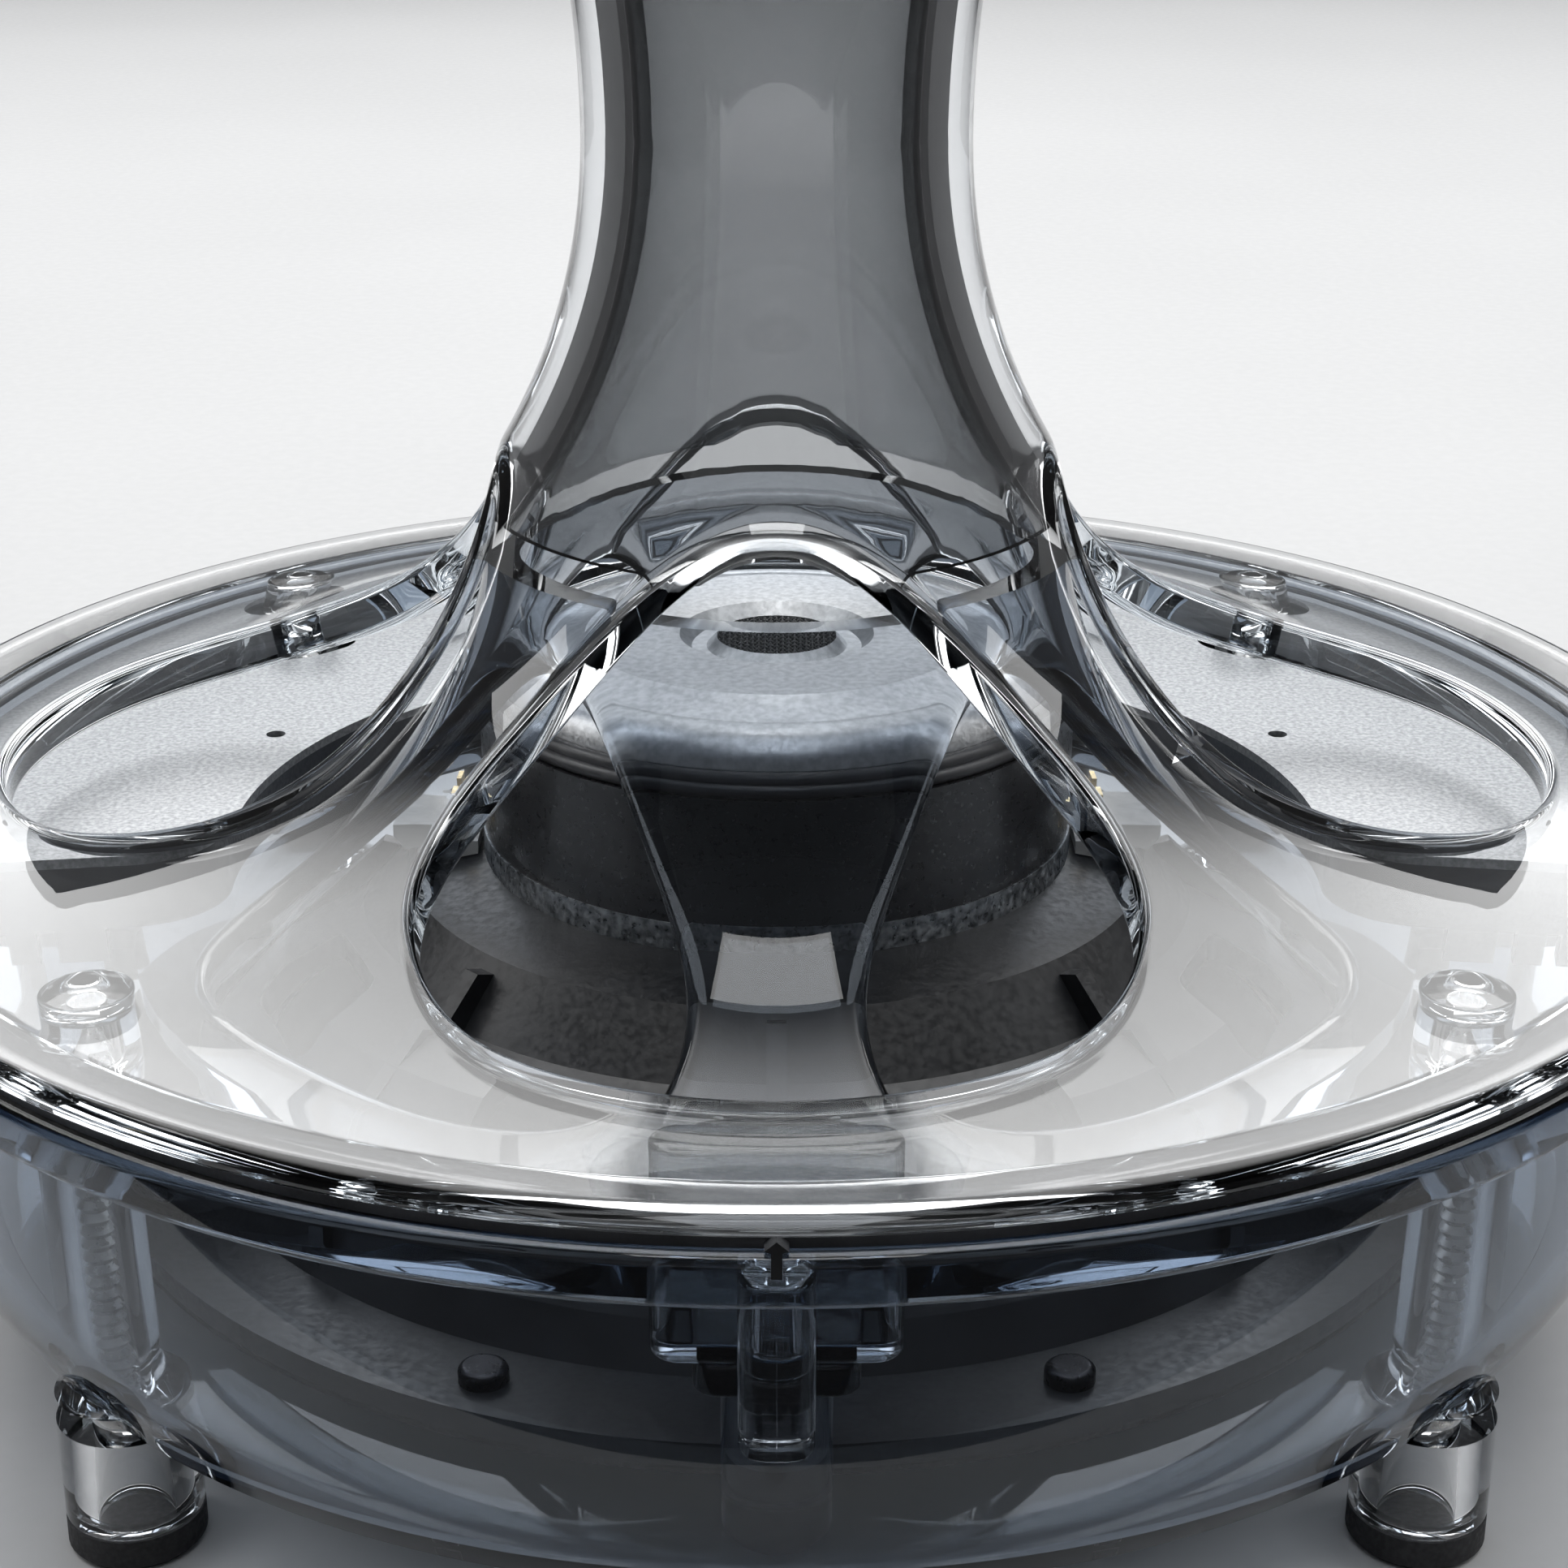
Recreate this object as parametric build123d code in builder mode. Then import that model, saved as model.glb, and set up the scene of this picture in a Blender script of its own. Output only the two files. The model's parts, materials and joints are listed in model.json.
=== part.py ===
"""Clear-bodied, down-firing bass loudspeaker with a trumpet-shaped port.

Every size is in millimetres. The part stands on its feet at z = 0 with +Z up, and its
front faces -Y. Heights inside the body are measured from the rim plane by level().
"""
from build123d import *
import math
import os

# ---------------------------------------------------------------- driving dimensions
RIM_RADIUS = 115.0            # the widest circle of the body
RIM_HEIGHT = 66.0             # rim plane above the surface the feet stand on

# trumpet: a quarter ellipse swept round the axis, concave to the outside
FLARE_CENTRE_RADIUS = 105.0
FLARE_TOP = 76.0              # height of the throat above the rim plane
FLARE_ACROSS = 82.5           # radial half-axis of the outside surface
SHELL_WALL = 6.0
BELL_MOUTH_RADIUS = 50.0
BELL_ACROSS = 27.5
BELL_RISE = 60.0              # throat to mouth
BELL_JOINT = 96.0             # bonded joint between neck and bell
LIP_THICKNESS = 3.2
LIP_INNER_RADIUS = 107.0
SEAL_INNER_RADIUS = 107.6
SEAL_OUTER_RADIUS = 113.0

# arched openings of the skirt, one in each quarter: half of the front one's plan outline
ARCH_HALF = [(0, -34), (16, -36), (28, -43.5), (35.5, -53), (37.5, -62), (36, -71),
             (28.5, -84), (15, -92), (0, -94.5)]

# smoked film that lines the bore of the neck
LINER_GAP = 0.05
LINER_WALL = 0.6
LINER_TOP = 95.5
LINER_BOTTOM = 30.0
LINER_EDGE = 29.0             # radius of its edge above an arch
LINER_SCALLOP_PLACE = 64.0
LINER_SCALLOP_HALF_WIDTH = 42.0

# locating key in the front of the rim
KEY_HALF = [(0, -3.25), (1.1, -4.2), (0.5, -4.4), (0.5, -7.0), (0, -7.0)]
KEY_DEPTH = 1.8
KEY_FRONT = 114.6
KEY_GAP = 0.05

# inner cage, which straddles the magnet
CAGE_CENTRE_RADIUS = 92.0
CAGE_CENTRE_HEIGHT = 44.0
CAGE_ACROSS = 60.0
CAGE_DROP = 70.0
CAGE_WALL = 3.5
CAGE_TOP = 26.0
CAGE_FOOT_RADIUS = 80.0
CAGE_POST_RADIUS = 5.5
CAGE_POST_PLACE = 92.5

# case bosses and their long screws
BOSS_PLACE = 99.0
BOSS_RADIUS = 4.9
BOSS_SPLIT = -12.0
SCREW_RADIUS = 1.8
SCREW_PITCH = 1.5
SCREW_HEAD_RADIUS = 3.4

# base bowl
BASE_TOP = -4.8
BASE_FLOOR_TOP = -46.8
BASE_FLOOR_BOTTOM = -50.0
DRIVER_HOLE_RADIUS = 70.0
FOOT_RADIUS = 7.5
FOOT_BOTTOM = -62.0
PAD_THICKNESS = RIM_HEIGHT + FOOT_BOTTOM

# loudspeaker motor
MAGNET_RADIUS = 34.4
SLEEVE_RADIUS = 36.4
MAGNET_TOP = 6.75
MAGNET_BOTTOM = -8.7
PLATE_BOTTOM = -12.0
BACK_PLATE_TOP = 15.0
BACK_PLATE_FLAT = 23.3
POLE_RADIUS = 12.2
VENT_RADIUS = 7.3
VENT_SEAT = 14.0              # height the dust screen rests at
VENT_BORE = 5.5
VENT_GROOVE = [(11.9, 15.0), (10.4, 13.4), (8.6, 13.4)]
SCREEN_THICKNESS = 0.6
GAP_RADIUS = 14.0

# basket and moving assembly
BASKET_FLANGE_RADIUS = 86.0
BASKET_FLANGE_TOP = -43.0
BASKET_FLANGE_BOTTOM = -46.0
BASKET_WINDOWS = 8
DRIVER_SCREWS = 8
DRIVER_SCREW_PLACE = 80.0
FORMER_RADIUS = 12.6
FORMER_WALL = 0.2
COIL_OUTER_RADIUS = 13.5
CONE_NECK_HEIGHT = -29.0
CONE_EDGE_HEIGHT = -44.4
CONE_EDGE_RADIUS = 58.0
CONE_WALL = 0.8
DUST_CAP_RADIUS = 20.0
DUST_CAP_EDGE = -33.9
SURROUND_CENTRE = 62.0
SURROUND_ROLL = 4.0
SURROUND_WALL = 0.7
SPIDER_LEVEL = -16.5

# electronics modules in the rear left and rear right of the base
MODULE_INNER_RADIUS = 68.0
MODULE_OUTER_RADIUS = 106.0
MODULE_START = 102.0          # degrees from +X, rear end of the left module
MODULE_SPAN = 92.0
MODULE_PLATE_TOP = -10.0
MODULE_PLATE_THICKNESS = 1.2
MODULE_BOTTOM = -19.5
MODULE_WALL = 1.8
MODULE_HOLES = [(-68.0, 31.0), (-92.5, -10.0), (-38.0, 84.0)]
MODULE_POST_ANGLES = (120.0, 165.0)
MODULE_POST_PLACE = 94.0
MODULE_POST_RADIUS = 4.0

QUARTERS = 4
SIDES = {"left": 1, "right": -1}


# ---------------------------------------------------------------- helpers
def level(height):
    """Height above the floor of a height measured from the rim plane."""
    return RIM_HEIGHT + height


def at(radius, height):
    """Point of a revolved profile."""
    return (radius, level(height))


def flare(centre_radius, centre_height, across, rise, start, end):
    """Part of an ellipse in the profile plane, drawn between two angles."""
    return EllipticalCenterArc(at(centre_radius, centre_height), across, rise,
                               start_angle=start, arc_size=end - start)


def save(part, label):
    """Label a finished piece and write its STEP file."""
    part.label = label
    export_step(part, f"parts/{label}.step")
    print(label, round(part.volume, 1), "mm3", len(part.solids()), "solids")


def ring(inner, outer, bottom, top):
    """Plain ring as a solid, used for washers, sleeves and gaskets."""
    with BuildPart() as piece:
        with BuildSketch(Plane.XY.offset(level(bottom))):
            Circle(outer)
            Circle(inner, mode=Mode.SUBTRACT)
        extrude(amount=top - bottom)
    return piece.part


def arch_outline():
    """Plan outline of the front arched opening."""
    with BuildSketch() as outline:
        with BuildLine():
            Spline(*ARCH_HALF, tangents=[(1, 0), (-1, 0)])
            mirror(about=Plane.YZ)
        make_face()
    return outline.sketch


def key_solid(gap=0.0):
    """Locating key, or with a gap round it the pocket it sits in."""
    with BuildPart() as key:
        with BuildSketch(Plane.XZ.offset(KEY_FRONT + gap)):
            with BuildLine():
                Polyline(*[at(x, height) for x, height in KEY_HALF])
                mirror(about=Plane.YZ)
            make_face()
            if gap:
                offset(amount=gap, kind=Kind.INTERSECTION)
        extrude(amount=-KEY_DEPTH - 2 * gap)
    return key.part


def cage_window_outline():
    """Plan outline of one cage window, drawn on the front axis."""
    with BuildSketch() as outline:
        with BuildLine():
            Spline((0, -36.2), (20, -39.5), (29.5, -43.5), (34.5, -54), (33, -62),
                   (22, -70), (0, -73), tangents=[(1, 0), (-1, 0)])
            mirror(about=Plane.YZ)
        make_face()
    return outline.sketch


def module_outline(side, inset=0.0):
    """Plan outline of an electronics module, rounded at its front inner corner."""
    inner = MODULE_INNER_RADIUS + inset
    outer = MODULE_OUTER_RADIUS - inset
    trim = math.degrees(inset / MODULE_INNER_RADIUS)
    start = MODULE_START + trim
    end = MODULE_START + MODULE_SPAN - trim
    with BuildSketch() as outline:
        with BuildLine():
            near = CenterArc((0, 0), inner, start, end - start)
            far = CenterArc((0, 0), outer, start, end - start)
            Line(near @ 0, far @ 0)
            Line(near @ 1, far @ 1)
        make_face()
        corners = outline.vertices().sort_by(Axis.Y)
        fillet(corners[1], radius=12 - inset)
        fillet(corners[0], radius=6 - inset)
        if side < 0:
            mirror(about=Plane.YZ, mode=Mode.REPLACE)
    return outline.sketch


# ---------------------------------------------------------------- clear body
def trumpet_shell():
    """Neck and skirt in one moulding, with four arches and the upper case bosses."""
    wall = SHELL_WALL
    rise = math.asin((BELL_JOINT - FLARE_TOP) / BELL_RISE)
    rise_inside = math.asin((BELL_JOINT - FLARE_TOP) / (BELL_RISE + wall))
    bead = LIP_THICKNESS / 2
    with BuildPart() as shell:
        with BuildSketch(Plane.XZ):
            with BuildLine():
                outside = flare(FLARE_CENTRE_RADIUS, FLARE_TOP, FLARE_ACROSS, FLARE_TOP, 180, 270)
                inside = flare(FLARE_CENTRE_RADIUS, FLARE_TOP, FLARE_ACROSS + wall,
                               FLARE_TOP + wall, 180, 270)
                neck = flare(BELL_MOUTH_RADIUS, FLARE_TOP, BELL_ACROSS, BELL_RISE,
                             180 - math.degrees(rise), 180)
                bore = flare(BELL_MOUTH_RADIUS, FLARE_TOP, BELL_ACROSS + wall, BELL_RISE + wall,
                             180 - math.degrees(rise_inside), 180)
                Line(neck @ 0, bore @ 0)
                Polyline(outside @ 1, at(RIM_RADIUS - bead, 0))
                ThreePointArc(at(RIM_RADIUS - bead, 0), at(RIM_RADIUS, -bead),
                              at(RIM_RADIUS - bead, -LIP_THICKNESS))
                Polyline(at(RIM_RADIUS - bead, -LIP_THICKNESS),
                         at(LIP_INNER_RADIUS, -LIP_THICKNESS), at(LIP_INNER_RADIUS, -wall),
                         inside @ 1)
            make_face()
        revolve(axis=Axis.Z)
        with BuildSketch(Plane.XY.offset(level(-10))):
            with PolarLocations(0, QUARTERS):
                add(arch_outline())
        extrude(amount=60, mode=Mode.SUBTRACT)
        with BuildSketch(Plane.XY.offset(level(BOSS_SPLIT))):
            with PolarLocations(BOSS_PLACE, QUARTERS, start_angle=45):
                Circle(BOSS_RADIUS)
        extrude(amount=-BOSS_SPLIT - 3)
        with BuildSketch(Plane.XY.offset(level(BOSS_SPLIT))):
            with PolarLocations(BOSS_PLACE, QUARTERS, start_angle=45):
                Circle(SCREW_RADIUS + 0.15)
        extrude(amount=-BOSS_SPLIT - 5.5, mode=Mode.SUBTRACT)
    return shell.part


def port_liner():
    """Smoked film inside the bore, which ends a little way above each arch."""
    outer = SHELL_WALL + LINER_GAP
    inner = outer + LINER_WALL

    def rise(height, inset):
        return math.degrees(math.asin((height - FLARE_TOP) / (BELL_RISE + inset)))

    def drop(height, inset):
        return math.degrees(math.asin((FLARE_TOP - height) / (FLARE_TOP + inset)))

    with BuildPart() as liner:
        with BuildSketch(Plane.XZ):
            with BuildLine():
                sides = []
                for inset in (outer, inner):
                    flare(BELL_MOUTH_RADIUS, FLARE_TOP, BELL_ACROSS + inset, BELL_RISE + inset,
                          180 - rise(LINER_TOP, inset), 180)
                    sides.append(flare(FLARE_CENTRE_RADIUS, FLARE_TOP, FLARE_ACROSS + inset,
                                       FLARE_TOP + inset, 180, 180 + drop(LINER_BOTTOM, inset)))
                ends = []
                for inset in (outer, inner):
                    angle = math.radians(rise(LINER_TOP, inset))
                    ends.append(at(BELL_MOUTH_RADIUS - (BELL_ACROSS + inset) * math.cos(angle),
                                   LINER_TOP))
                Line(*ends)
                Line(sides[0] @ 1, sides[1] @ 1)
            make_face()
        revolve(axis=Axis.Z)
        with BuildSketch(Plane.XY.offset(level(LINER_BOTTOM - 1))):
            with PolarLocations(LINER_SCALLOP_PLACE, QUARTERS):
                Ellipse(LINER_SCALLOP_PLACE - LINER_EDGE, LINER_SCALLOP_HALF_WIDTH)
        extrude(amount=LINER_TOP - LINER_BOTTOM, mode=Mode.SUBTRACT)
    return liner.part


def rim_gasket():
    """Flat seal between the lip and the base flange, cut through for the key."""
    with BuildPart() as seal:
        with BuildSketch(Plane.XY.offset(level(BASE_TOP))):
            Circle(SEAL_OUTER_RADIUS)
            Circle(SEAL_INNER_RADIUS, mode=Mode.SUBTRACT)
        extrude(amount=-LIP_THICKNESS - BASE_TOP)
        add(key_solid(KEY_GAP), mode=Mode.SUBTRACT)
    return seal.part


def port_bell():
    """Flared mouth bonded to the top of the neck."""
    wall = SHELL_WALL
    rise = math.asin((BELL_JOINT - FLARE_TOP) / BELL_RISE)
    rise_inside = math.asin((BELL_JOINT - FLARE_TOP) / (BELL_RISE + wall))
    with BuildPart() as bell:
        with BuildSketch(Plane.XZ):
            with BuildLine():
                outside = flare(BELL_MOUTH_RADIUS, FLARE_TOP, BELL_ACROSS, BELL_RISE,
                                90, 180 - math.degrees(rise))
                inside = flare(BELL_MOUTH_RADIUS, FLARE_TOP, BELL_ACROSS + wall, BELL_RISE + wall,
                               90, 180 - math.degrees(rise_inside))
                Line(outside @ 1, inside @ 1)
                ThreePointArc(outside @ 0,
                              at(BELL_MOUTH_RADIUS + wall / 2, FLARE_TOP + BELL_RISE + wall / 2),
                              inside @ 0)
            make_face()
        revolve(axis=Axis.Z)
    return bell.part


def inner_cage():
    """Flared cage over the magnet, with windows between its struts, lugs and posts."""
    def angle(height, drop):
        return 180 + math.degrees(math.asin((CAGE_CENTRE_HEIGHT - height) / drop))

    def foot_angle(across):
        return 270 - math.degrees(math.asin((CAGE_CENTRE_RADIUS - CAGE_FOOT_RADIUS) / across))

    lug_bottom = -28.2
    lug_top = -24.6
    lug_end = 99.5
    with BuildPart() as cage:
        with BuildSketch(Plane.XZ):
            with BuildLine():
                outside = flare(CAGE_CENTRE_RADIUS, CAGE_CENTRE_HEIGHT, CAGE_ACROSS, CAGE_DROP,
                                angle(CAGE_TOP, CAGE_DROP), foot_angle(CAGE_ACROSS))
                inside = flare(CAGE_CENTRE_RADIUS, CAGE_CENTRE_HEIGHT, CAGE_ACROSS + CAGE_WALL,
                               CAGE_DROP + CAGE_WALL, angle(CAGE_TOP, CAGE_DROP + CAGE_WALL),
                               foot_angle(CAGE_ACROSS + CAGE_WALL))
                Line(outside @ 0, inside @ 0)
                Line(outside @ 1, inside @ 1)
            make_face()
        revolve(axis=Axis.Z)
        with BuildSketch(Plane.XY.offset(level(-32))):
            with PolarLocations(0, QUARTERS, start_angle=45):
                add(cage_window_outline())
        extrude(amount=64, mode=Mode.SUBTRACT)
        with BuildSketch(Plane.XY.offset(level(lug_bottom))):
            with PolarLocations((CAGE_FOOT_RADIUS + lug_end) / 2 - 1, QUARTERS):
                Rectangle(lug_end - CAGE_FOOT_RADIUS + 2, 16)
        extrude(amount=lug_top - lug_bottom)
        with BuildSketch(Plane.XY.offset(level(BASE_FLOOR_TOP))):
            with PolarLocations(CAGE_POST_PLACE, QUARTERS):
                Circle(CAGE_POST_RADIUS)
        extrude(amount=lug_bottom - BASE_FLOOR_TOP)
        with BuildSketch(Plane.XY.offset(level(lug_top))):
            with PolarLocations(lug_end - 3.3, 2, start_angle=90):
                RectangleRounded(6.4, 24, 3)
        extrude(amount=-6.4 - lug_top)
    return cage.part


def base_bowl():
    """Clear lower shell: rim flange, wall, driver floor, case bosses, key lugs and feet."""
    with BuildPart() as bowl:
        with BuildSketch(Plane.XZ):
            with BuildLine():
                Polyline(at(107.3, -10.6), at(107.3, BASE_TOP), at(113.2, BASE_TOP))
                ThreePointArc(at(113.2, BASE_TOP), at(114.2, -5.2), at(114.6, -6.2))
                Line(at(114.6, -6.2), at(114.6, -9.2))
                ThreePointArc(at(114.6, -9.2), at(114.2, -10.2), at(113.2, -10.6))
                Line(at(113.2, -10.6), at(111.5, -10.6))
                ThreePointArc(at(111.5, -10.6), at(109.4, -33), at(101.5, BASE_FLOOR_BOTTOM))
                Polyline(at(101.5, BASE_FLOOR_BOTTOM), at(DRIVER_HOLE_RADIUS, BASE_FLOOR_BOTTOM),
                         at(DRIVER_HOLE_RADIUS, BASE_FLOOR_TOP), at(99, BASE_FLOOR_TOP))
                ThreePointArc(at(99, BASE_FLOOR_TOP), at(105.8, -32), at(107.3, -10.6))
            make_face()
        revolve(axis=Axis.Z)
        with BuildSketch(Plane.XY.offset(level(BASE_FLOOR_TOP))):
            with PolarLocations(BOSS_PLACE, QUARTERS, start_angle=45):
                Circle(BOSS_RADIUS)
        extrude(amount=BOSS_SPLIT - BASE_FLOOR_TOP)
        with BuildSketch(Plane.XY.offset(level(-30))):
            with PolarLocations(104, 2, start_angle=90):
                Circle(3.6)
        extrude(amount=30 - 10.6)
        with BuildSketch(Plane.XY.offset(level(FOOT_BOTTOM))):
            with PolarLocations(BOSS_PLACE, QUARTERS, start_angle=45):
                Circle(FOOT_RADIUS)
        extrude(amount=BASE_FLOOR_BOTTOM - FOOT_BOTTOM)
        with BuildSketch(Plane.XY.offset(level(FOOT_BOTTOM))):
            with PolarLocations(BOSS_PLACE, QUARTERS, start_angle=45):
                Circle(SCREW_HEAD_RADIUS + 0.4)
        extrude(amount=-48 - FOOT_BOTTOM, mode=Mode.SUBTRACT)
        with BuildSketch(Plane.XY.offset(level(-48))):
            with PolarLocations(BOSS_PLACE, QUARTERS, start_angle=45):
                Circle(SCREW_RADIUS + 0.4)
        extrude(amount=BOSS_SPLIT + 48, mode=Mode.SUBTRACT)
        with BuildSketch(Plane.XY.offset(level(BASE_FLOOR_BOTTOM))):
            with PolarLocations(DRIVER_SCREW_PLACE, DRIVER_SCREWS, start_angle=22.5):
                Circle(1.45)
        extrude(amount=BASE_FLOOR_TOP - BASE_FLOOR_BOTTOM, mode=Mode.SUBTRACT)
        add(key_solid(KEY_GAP), mode=Mode.SUBTRACT)
    return bowl.part


def foot_pads():
    """Rubber pads under the four feet."""
    with BuildPart() as pads:
        with BuildSketch(Plane.XY):
            with PolarLocations(BOSS_PLACE, QUARTERS, start_angle=45):
                Circle(FOOT_RADIUS)
        extrude(amount=PAD_THICKNESS)
        chamfer(pads.faces().sort_by(Axis.Z)[0:QUARTERS].edges(), length=0.8)
    return pads.part


def case_screws():
    """Long self-tapping screws that clamp the trumpet to the base."""
    head_bottom = -51.0
    head_top = -48.0
    tip = -6.6
    root = SCREW_RADIUS - 0.45
    turns = int((tip - 2 - head_top) / SCREW_PITCH)
    points = [at(0, head_bottom), at(SCREW_HEAD_RADIUS, head_bottom),
              at(SCREW_HEAD_RADIUS, head_top)]
    for turn in range(turns):
        start = head_top + turn * SCREW_PITCH
        points.append(at(root, start))
        points.append(at(SCREW_RADIUS, start + SCREW_PITCH / 2))
    points.append(at(root, head_top + turns * SCREW_PITCH))
    points.append(at(0.4, tip))
    points.append(at(0, tip))
    with BuildPart() as one:
        with BuildSketch(Plane.XZ):
            with BuildLine():
                Polyline(*points, close=True)
            make_face()
        revolve(axis=Axis.Z)
        with BuildSketch(Plane.XY.offset(level(head_bottom))):
            Rectangle(3.6, 0.9)
            Rectangle(0.9, 3.6)
        extrude(amount=1.4, mode=Mode.SUBTRACT)
    with BuildPart() as screws:
        with PolarLocations(BOSS_PLACE, QUARTERS, start_angle=45):
            add(one.part)
    return screws.part


# ---------------------------------------------------------------- loudspeaker motor
def magnet_bead():
    """Dark moulded bead between the magnet and the back plate."""
    with BuildPart() as bead:
        with BuildSketch(Plane.XZ):
            with BuildLine():
                Polyline(at(34.2, MAGNET_TOP), at(35.6, MAGNET_TOP))
                ThreePointArc(at(35.6, MAGNET_TOP), at(36.2, 7.6), at(35.4, 8.4))
                ThreePointArc(at(35.4, 8.4), at(35.2, 9.2), at(34.2, 9.6))
                Line(at(34.2, 9.6), at(34.2, MAGNET_TOP))
            make_face()
        revolve(axis=Axis.Z)
    return bead.part


def back_plate():
    """Steel back plate and pole piece, with a vent down its axis."""
    with BuildPart() as plate:
        with BuildSketch(Plane.XZ):
            with BuildLine():
                Polyline(at(VENT_BORE, PLATE_BOTTOM), at(POLE_RADIUS, PLATE_BOTTOM),
                         at(POLE_RADIUS, MAGNET_TOP), at(34.1, MAGNET_TOP), at(34.1, 9.6))
                ThreePointArc(at(34.1, 9.6), at(32.3, 12.7), at(28.8, 13.6))
                ThreePointArc(at(28.8, 13.6), at(25.6, 14.2), at(BACK_PLATE_FLAT, BACK_PLATE_TOP))
                Polyline(at(BACK_PLATE_FLAT, BACK_PLATE_TOP), *[at(*corner) for corner in VENT_GROOVE],
                         at(VENT_RADIUS, VENT_SEAT + SCREEN_THICKNESS), at(VENT_RADIUS, VENT_SEAT),
                         at(VENT_BORE, VENT_SEAT), at(VENT_BORE, PLATE_BOTTOM))
            make_face()
        revolve(axis=Axis.Z)
    return plate.part


def vent_mesh():
    """Woven dust screen in the vent, as a disc with a grid of square holes."""
    pitch = 1.5
    with BuildPart() as mesh:
        with BuildSketch(Plane.XY.offset(level(VENT_SEAT))):
            Circle(VENT_RADIUS - 0.02)
            with GridLocations(pitch, pitch, 8, 8):
                Rectangle(0.9, 0.9, mode=Mode.SUBTRACT)
            Circle(VENT_RADIUS - 0.02)
            Circle(VENT_RADIUS - 0.9, mode=Mode.SUBTRACT)
            with GridLocations(pitch, pitch, 9, 9):
                Rectangle(pitch, 0.5)
                Rectangle(0.5, pitch)
            Circle(VENT_RADIUS - 0.02, mode=Mode.INTERSECT)
        extrude(amount=SCREEN_THICKNESS)
    return mesh.part


# ---------------------------------------------------------------- basket and moving assembly
def basket():
    """Ribbed driver basket with windows, spider landing and screw flange."""
    with BuildPart() as frame:
        with BuildSketch(Plane.XZ):
            with BuildLine():
                Polyline(at(20, PLATE_BOTTOM), at(36.6, PLATE_BOTTOM), at(46, -14), at(52, -21),
                         at(62, -27), at(71, -38), at(74, BASKET_FLANGE_TOP),
                         at(BASKET_FLANGE_RADIUS, BASKET_FLANGE_TOP),
                         at(BASKET_FLANGE_RADIUS, BASKET_FLANGE_BOTTOM),
                         at(74.6, BASKET_FLANGE_BOTTOM), at(74.6, -45), at(66.4, -45),
                         at(68.5, -39.5), at(60, -29.5), at(50, -23.5), at(45, SPIDER_LEVEL),
                         at(36, SPIDER_LEVEL), at(34, -14.7), at(20, -14.7), close=True)
            make_face()
        revolve(axis=Axis.Z)
        with BuildSketch(Plane.XY.offset(level(-40))) as window:
            with PolarLocations(60, BASKET_WINDOWS, start_angle=22.5):
                Trapezoid(22, 11, 76, rotation=90)
            fillet(window.vertices(), radius=2)
        extrude(amount=20, mode=Mode.SUBTRACT)
        with BuildSketch(Plane.XY.offset(level(BASKET_FLANGE_BOTTOM))):
            with PolarLocations(DRIVER_SCREW_PLACE, DRIVER_SCREWS, start_angle=22.5):
                Circle(1.5)
        extrude(amount=BASKET_FLANGE_TOP - BASKET_FLANGE_BOTTOM, mode=Mode.SUBTRACT)
        with BuildSketch(Plane.XZ.offset(-1.1)):
            with BuildLine():
                Polyline(at(47, -15.4), at(49.5, -14.6), at(72.5, -37.5), at(73.5, -42.9),
                         at(71, -38.2), at(62, -27.2), at(52, -21.2), close=True)
            make_face()
        rib = extrude(amount=2.2, mode=Mode.PRIVATE)
        with PolarLocations(0, BASKET_WINDOWS):
            add(rib)
    return frame.part


def driver_gasket():
    """Foam gasket between the basket flange and the base floor, punched for the screws."""
    with BuildPart() as gasket:
        with BuildSketch(Plane.XY.offset(level(BASE_FLOOR_TOP))):
            Circle(BASKET_FLANGE_RADIUS)
            Circle(74.8, mode=Mode.SUBTRACT)
            with PolarLocations(DRIVER_SCREW_PLACE, DRIVER_SCREWS, start_angle=22.5):
                Circle(1.5, mode=Mode.SUBTRACT)
        extrude(amount=BASKET_FLANGE_BOTTOM - BASE_FLOOR_TOP)
    return gasket.part


def driver_screws():
    """Pan-head screws that hold the basket flange to the base floor."""
    with BuildPart() as screws:
        with BuildSketch(Plane.XY.offset(level(-49.6))):
            with PolarLocations(DRIVER_SCREW_PLACE, DRIVER_SCREWS, start_angle=22.5):
                Circle(1.3)
        extrude(amount=BASKET_FLANGE_TOP + 49.6)
        with BuildSketch(Plane.XY.offset(level(BASKET_FLANGE_TOP))):
            with PolarLocations(DRIVER_SCREW_PLACE, DRIVER_SCREWS, start_angle=22.5):
                Circle(2.7)
        extrude(amount=1.9)
        top_edges = screws.edges().filter_by(GeomType.CIRCLE).group_by(Axis.Z)[-1]
        fillet(top_edges, radius=0.8)
    return screws.part


def cone():
    """Paper cone, from the former's neck to the surround."""
    with BuildPart() as diaphragm:
        with BuildSketch(Plane.XZ):
            with BuildLine():
                Spline(at(FORMER_RADIUS + FORMER_WALL, CONE_NECK_HEIGHT), at(30, -37.4),
                       at(CONE_EDGE_RADIUS, CONE_EDGE_HEIGHT), tangents=[(1, -0.62), (1, -0.12)])
                Line(at(CONE_EDGE_RADIUS, CONE_EDGE_HEIGHT),
                     at(CONE_EDGE_RADIUS, CONE_EDGE_HEIGHT - CONE_WALL))
                Spline(at(CONE_EDGE_RADIUS, CONE_EDGE_HEIGHT - CONE_WALL),
                       at(30, -37.4 - CONE_WALL),
                       at(FORMER_RADIUS + FORMER_WALL, CONE_NECK_HEIGHT - CONE_WALL),
                       tangents=[(-1, 0.12), (-1, 0.62)])
                Line(at(FORMER_RADIUS + FORMER_WALL, CONE_NECK_HEIGHT - CONE_WALL),
                     at(FORMER_RADIUS + FORMER_WALL, CONE_NECK_HEIGHT))
            make_face()
        revolve(axis=Axis.Z)
    return diaphragm.part


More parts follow.
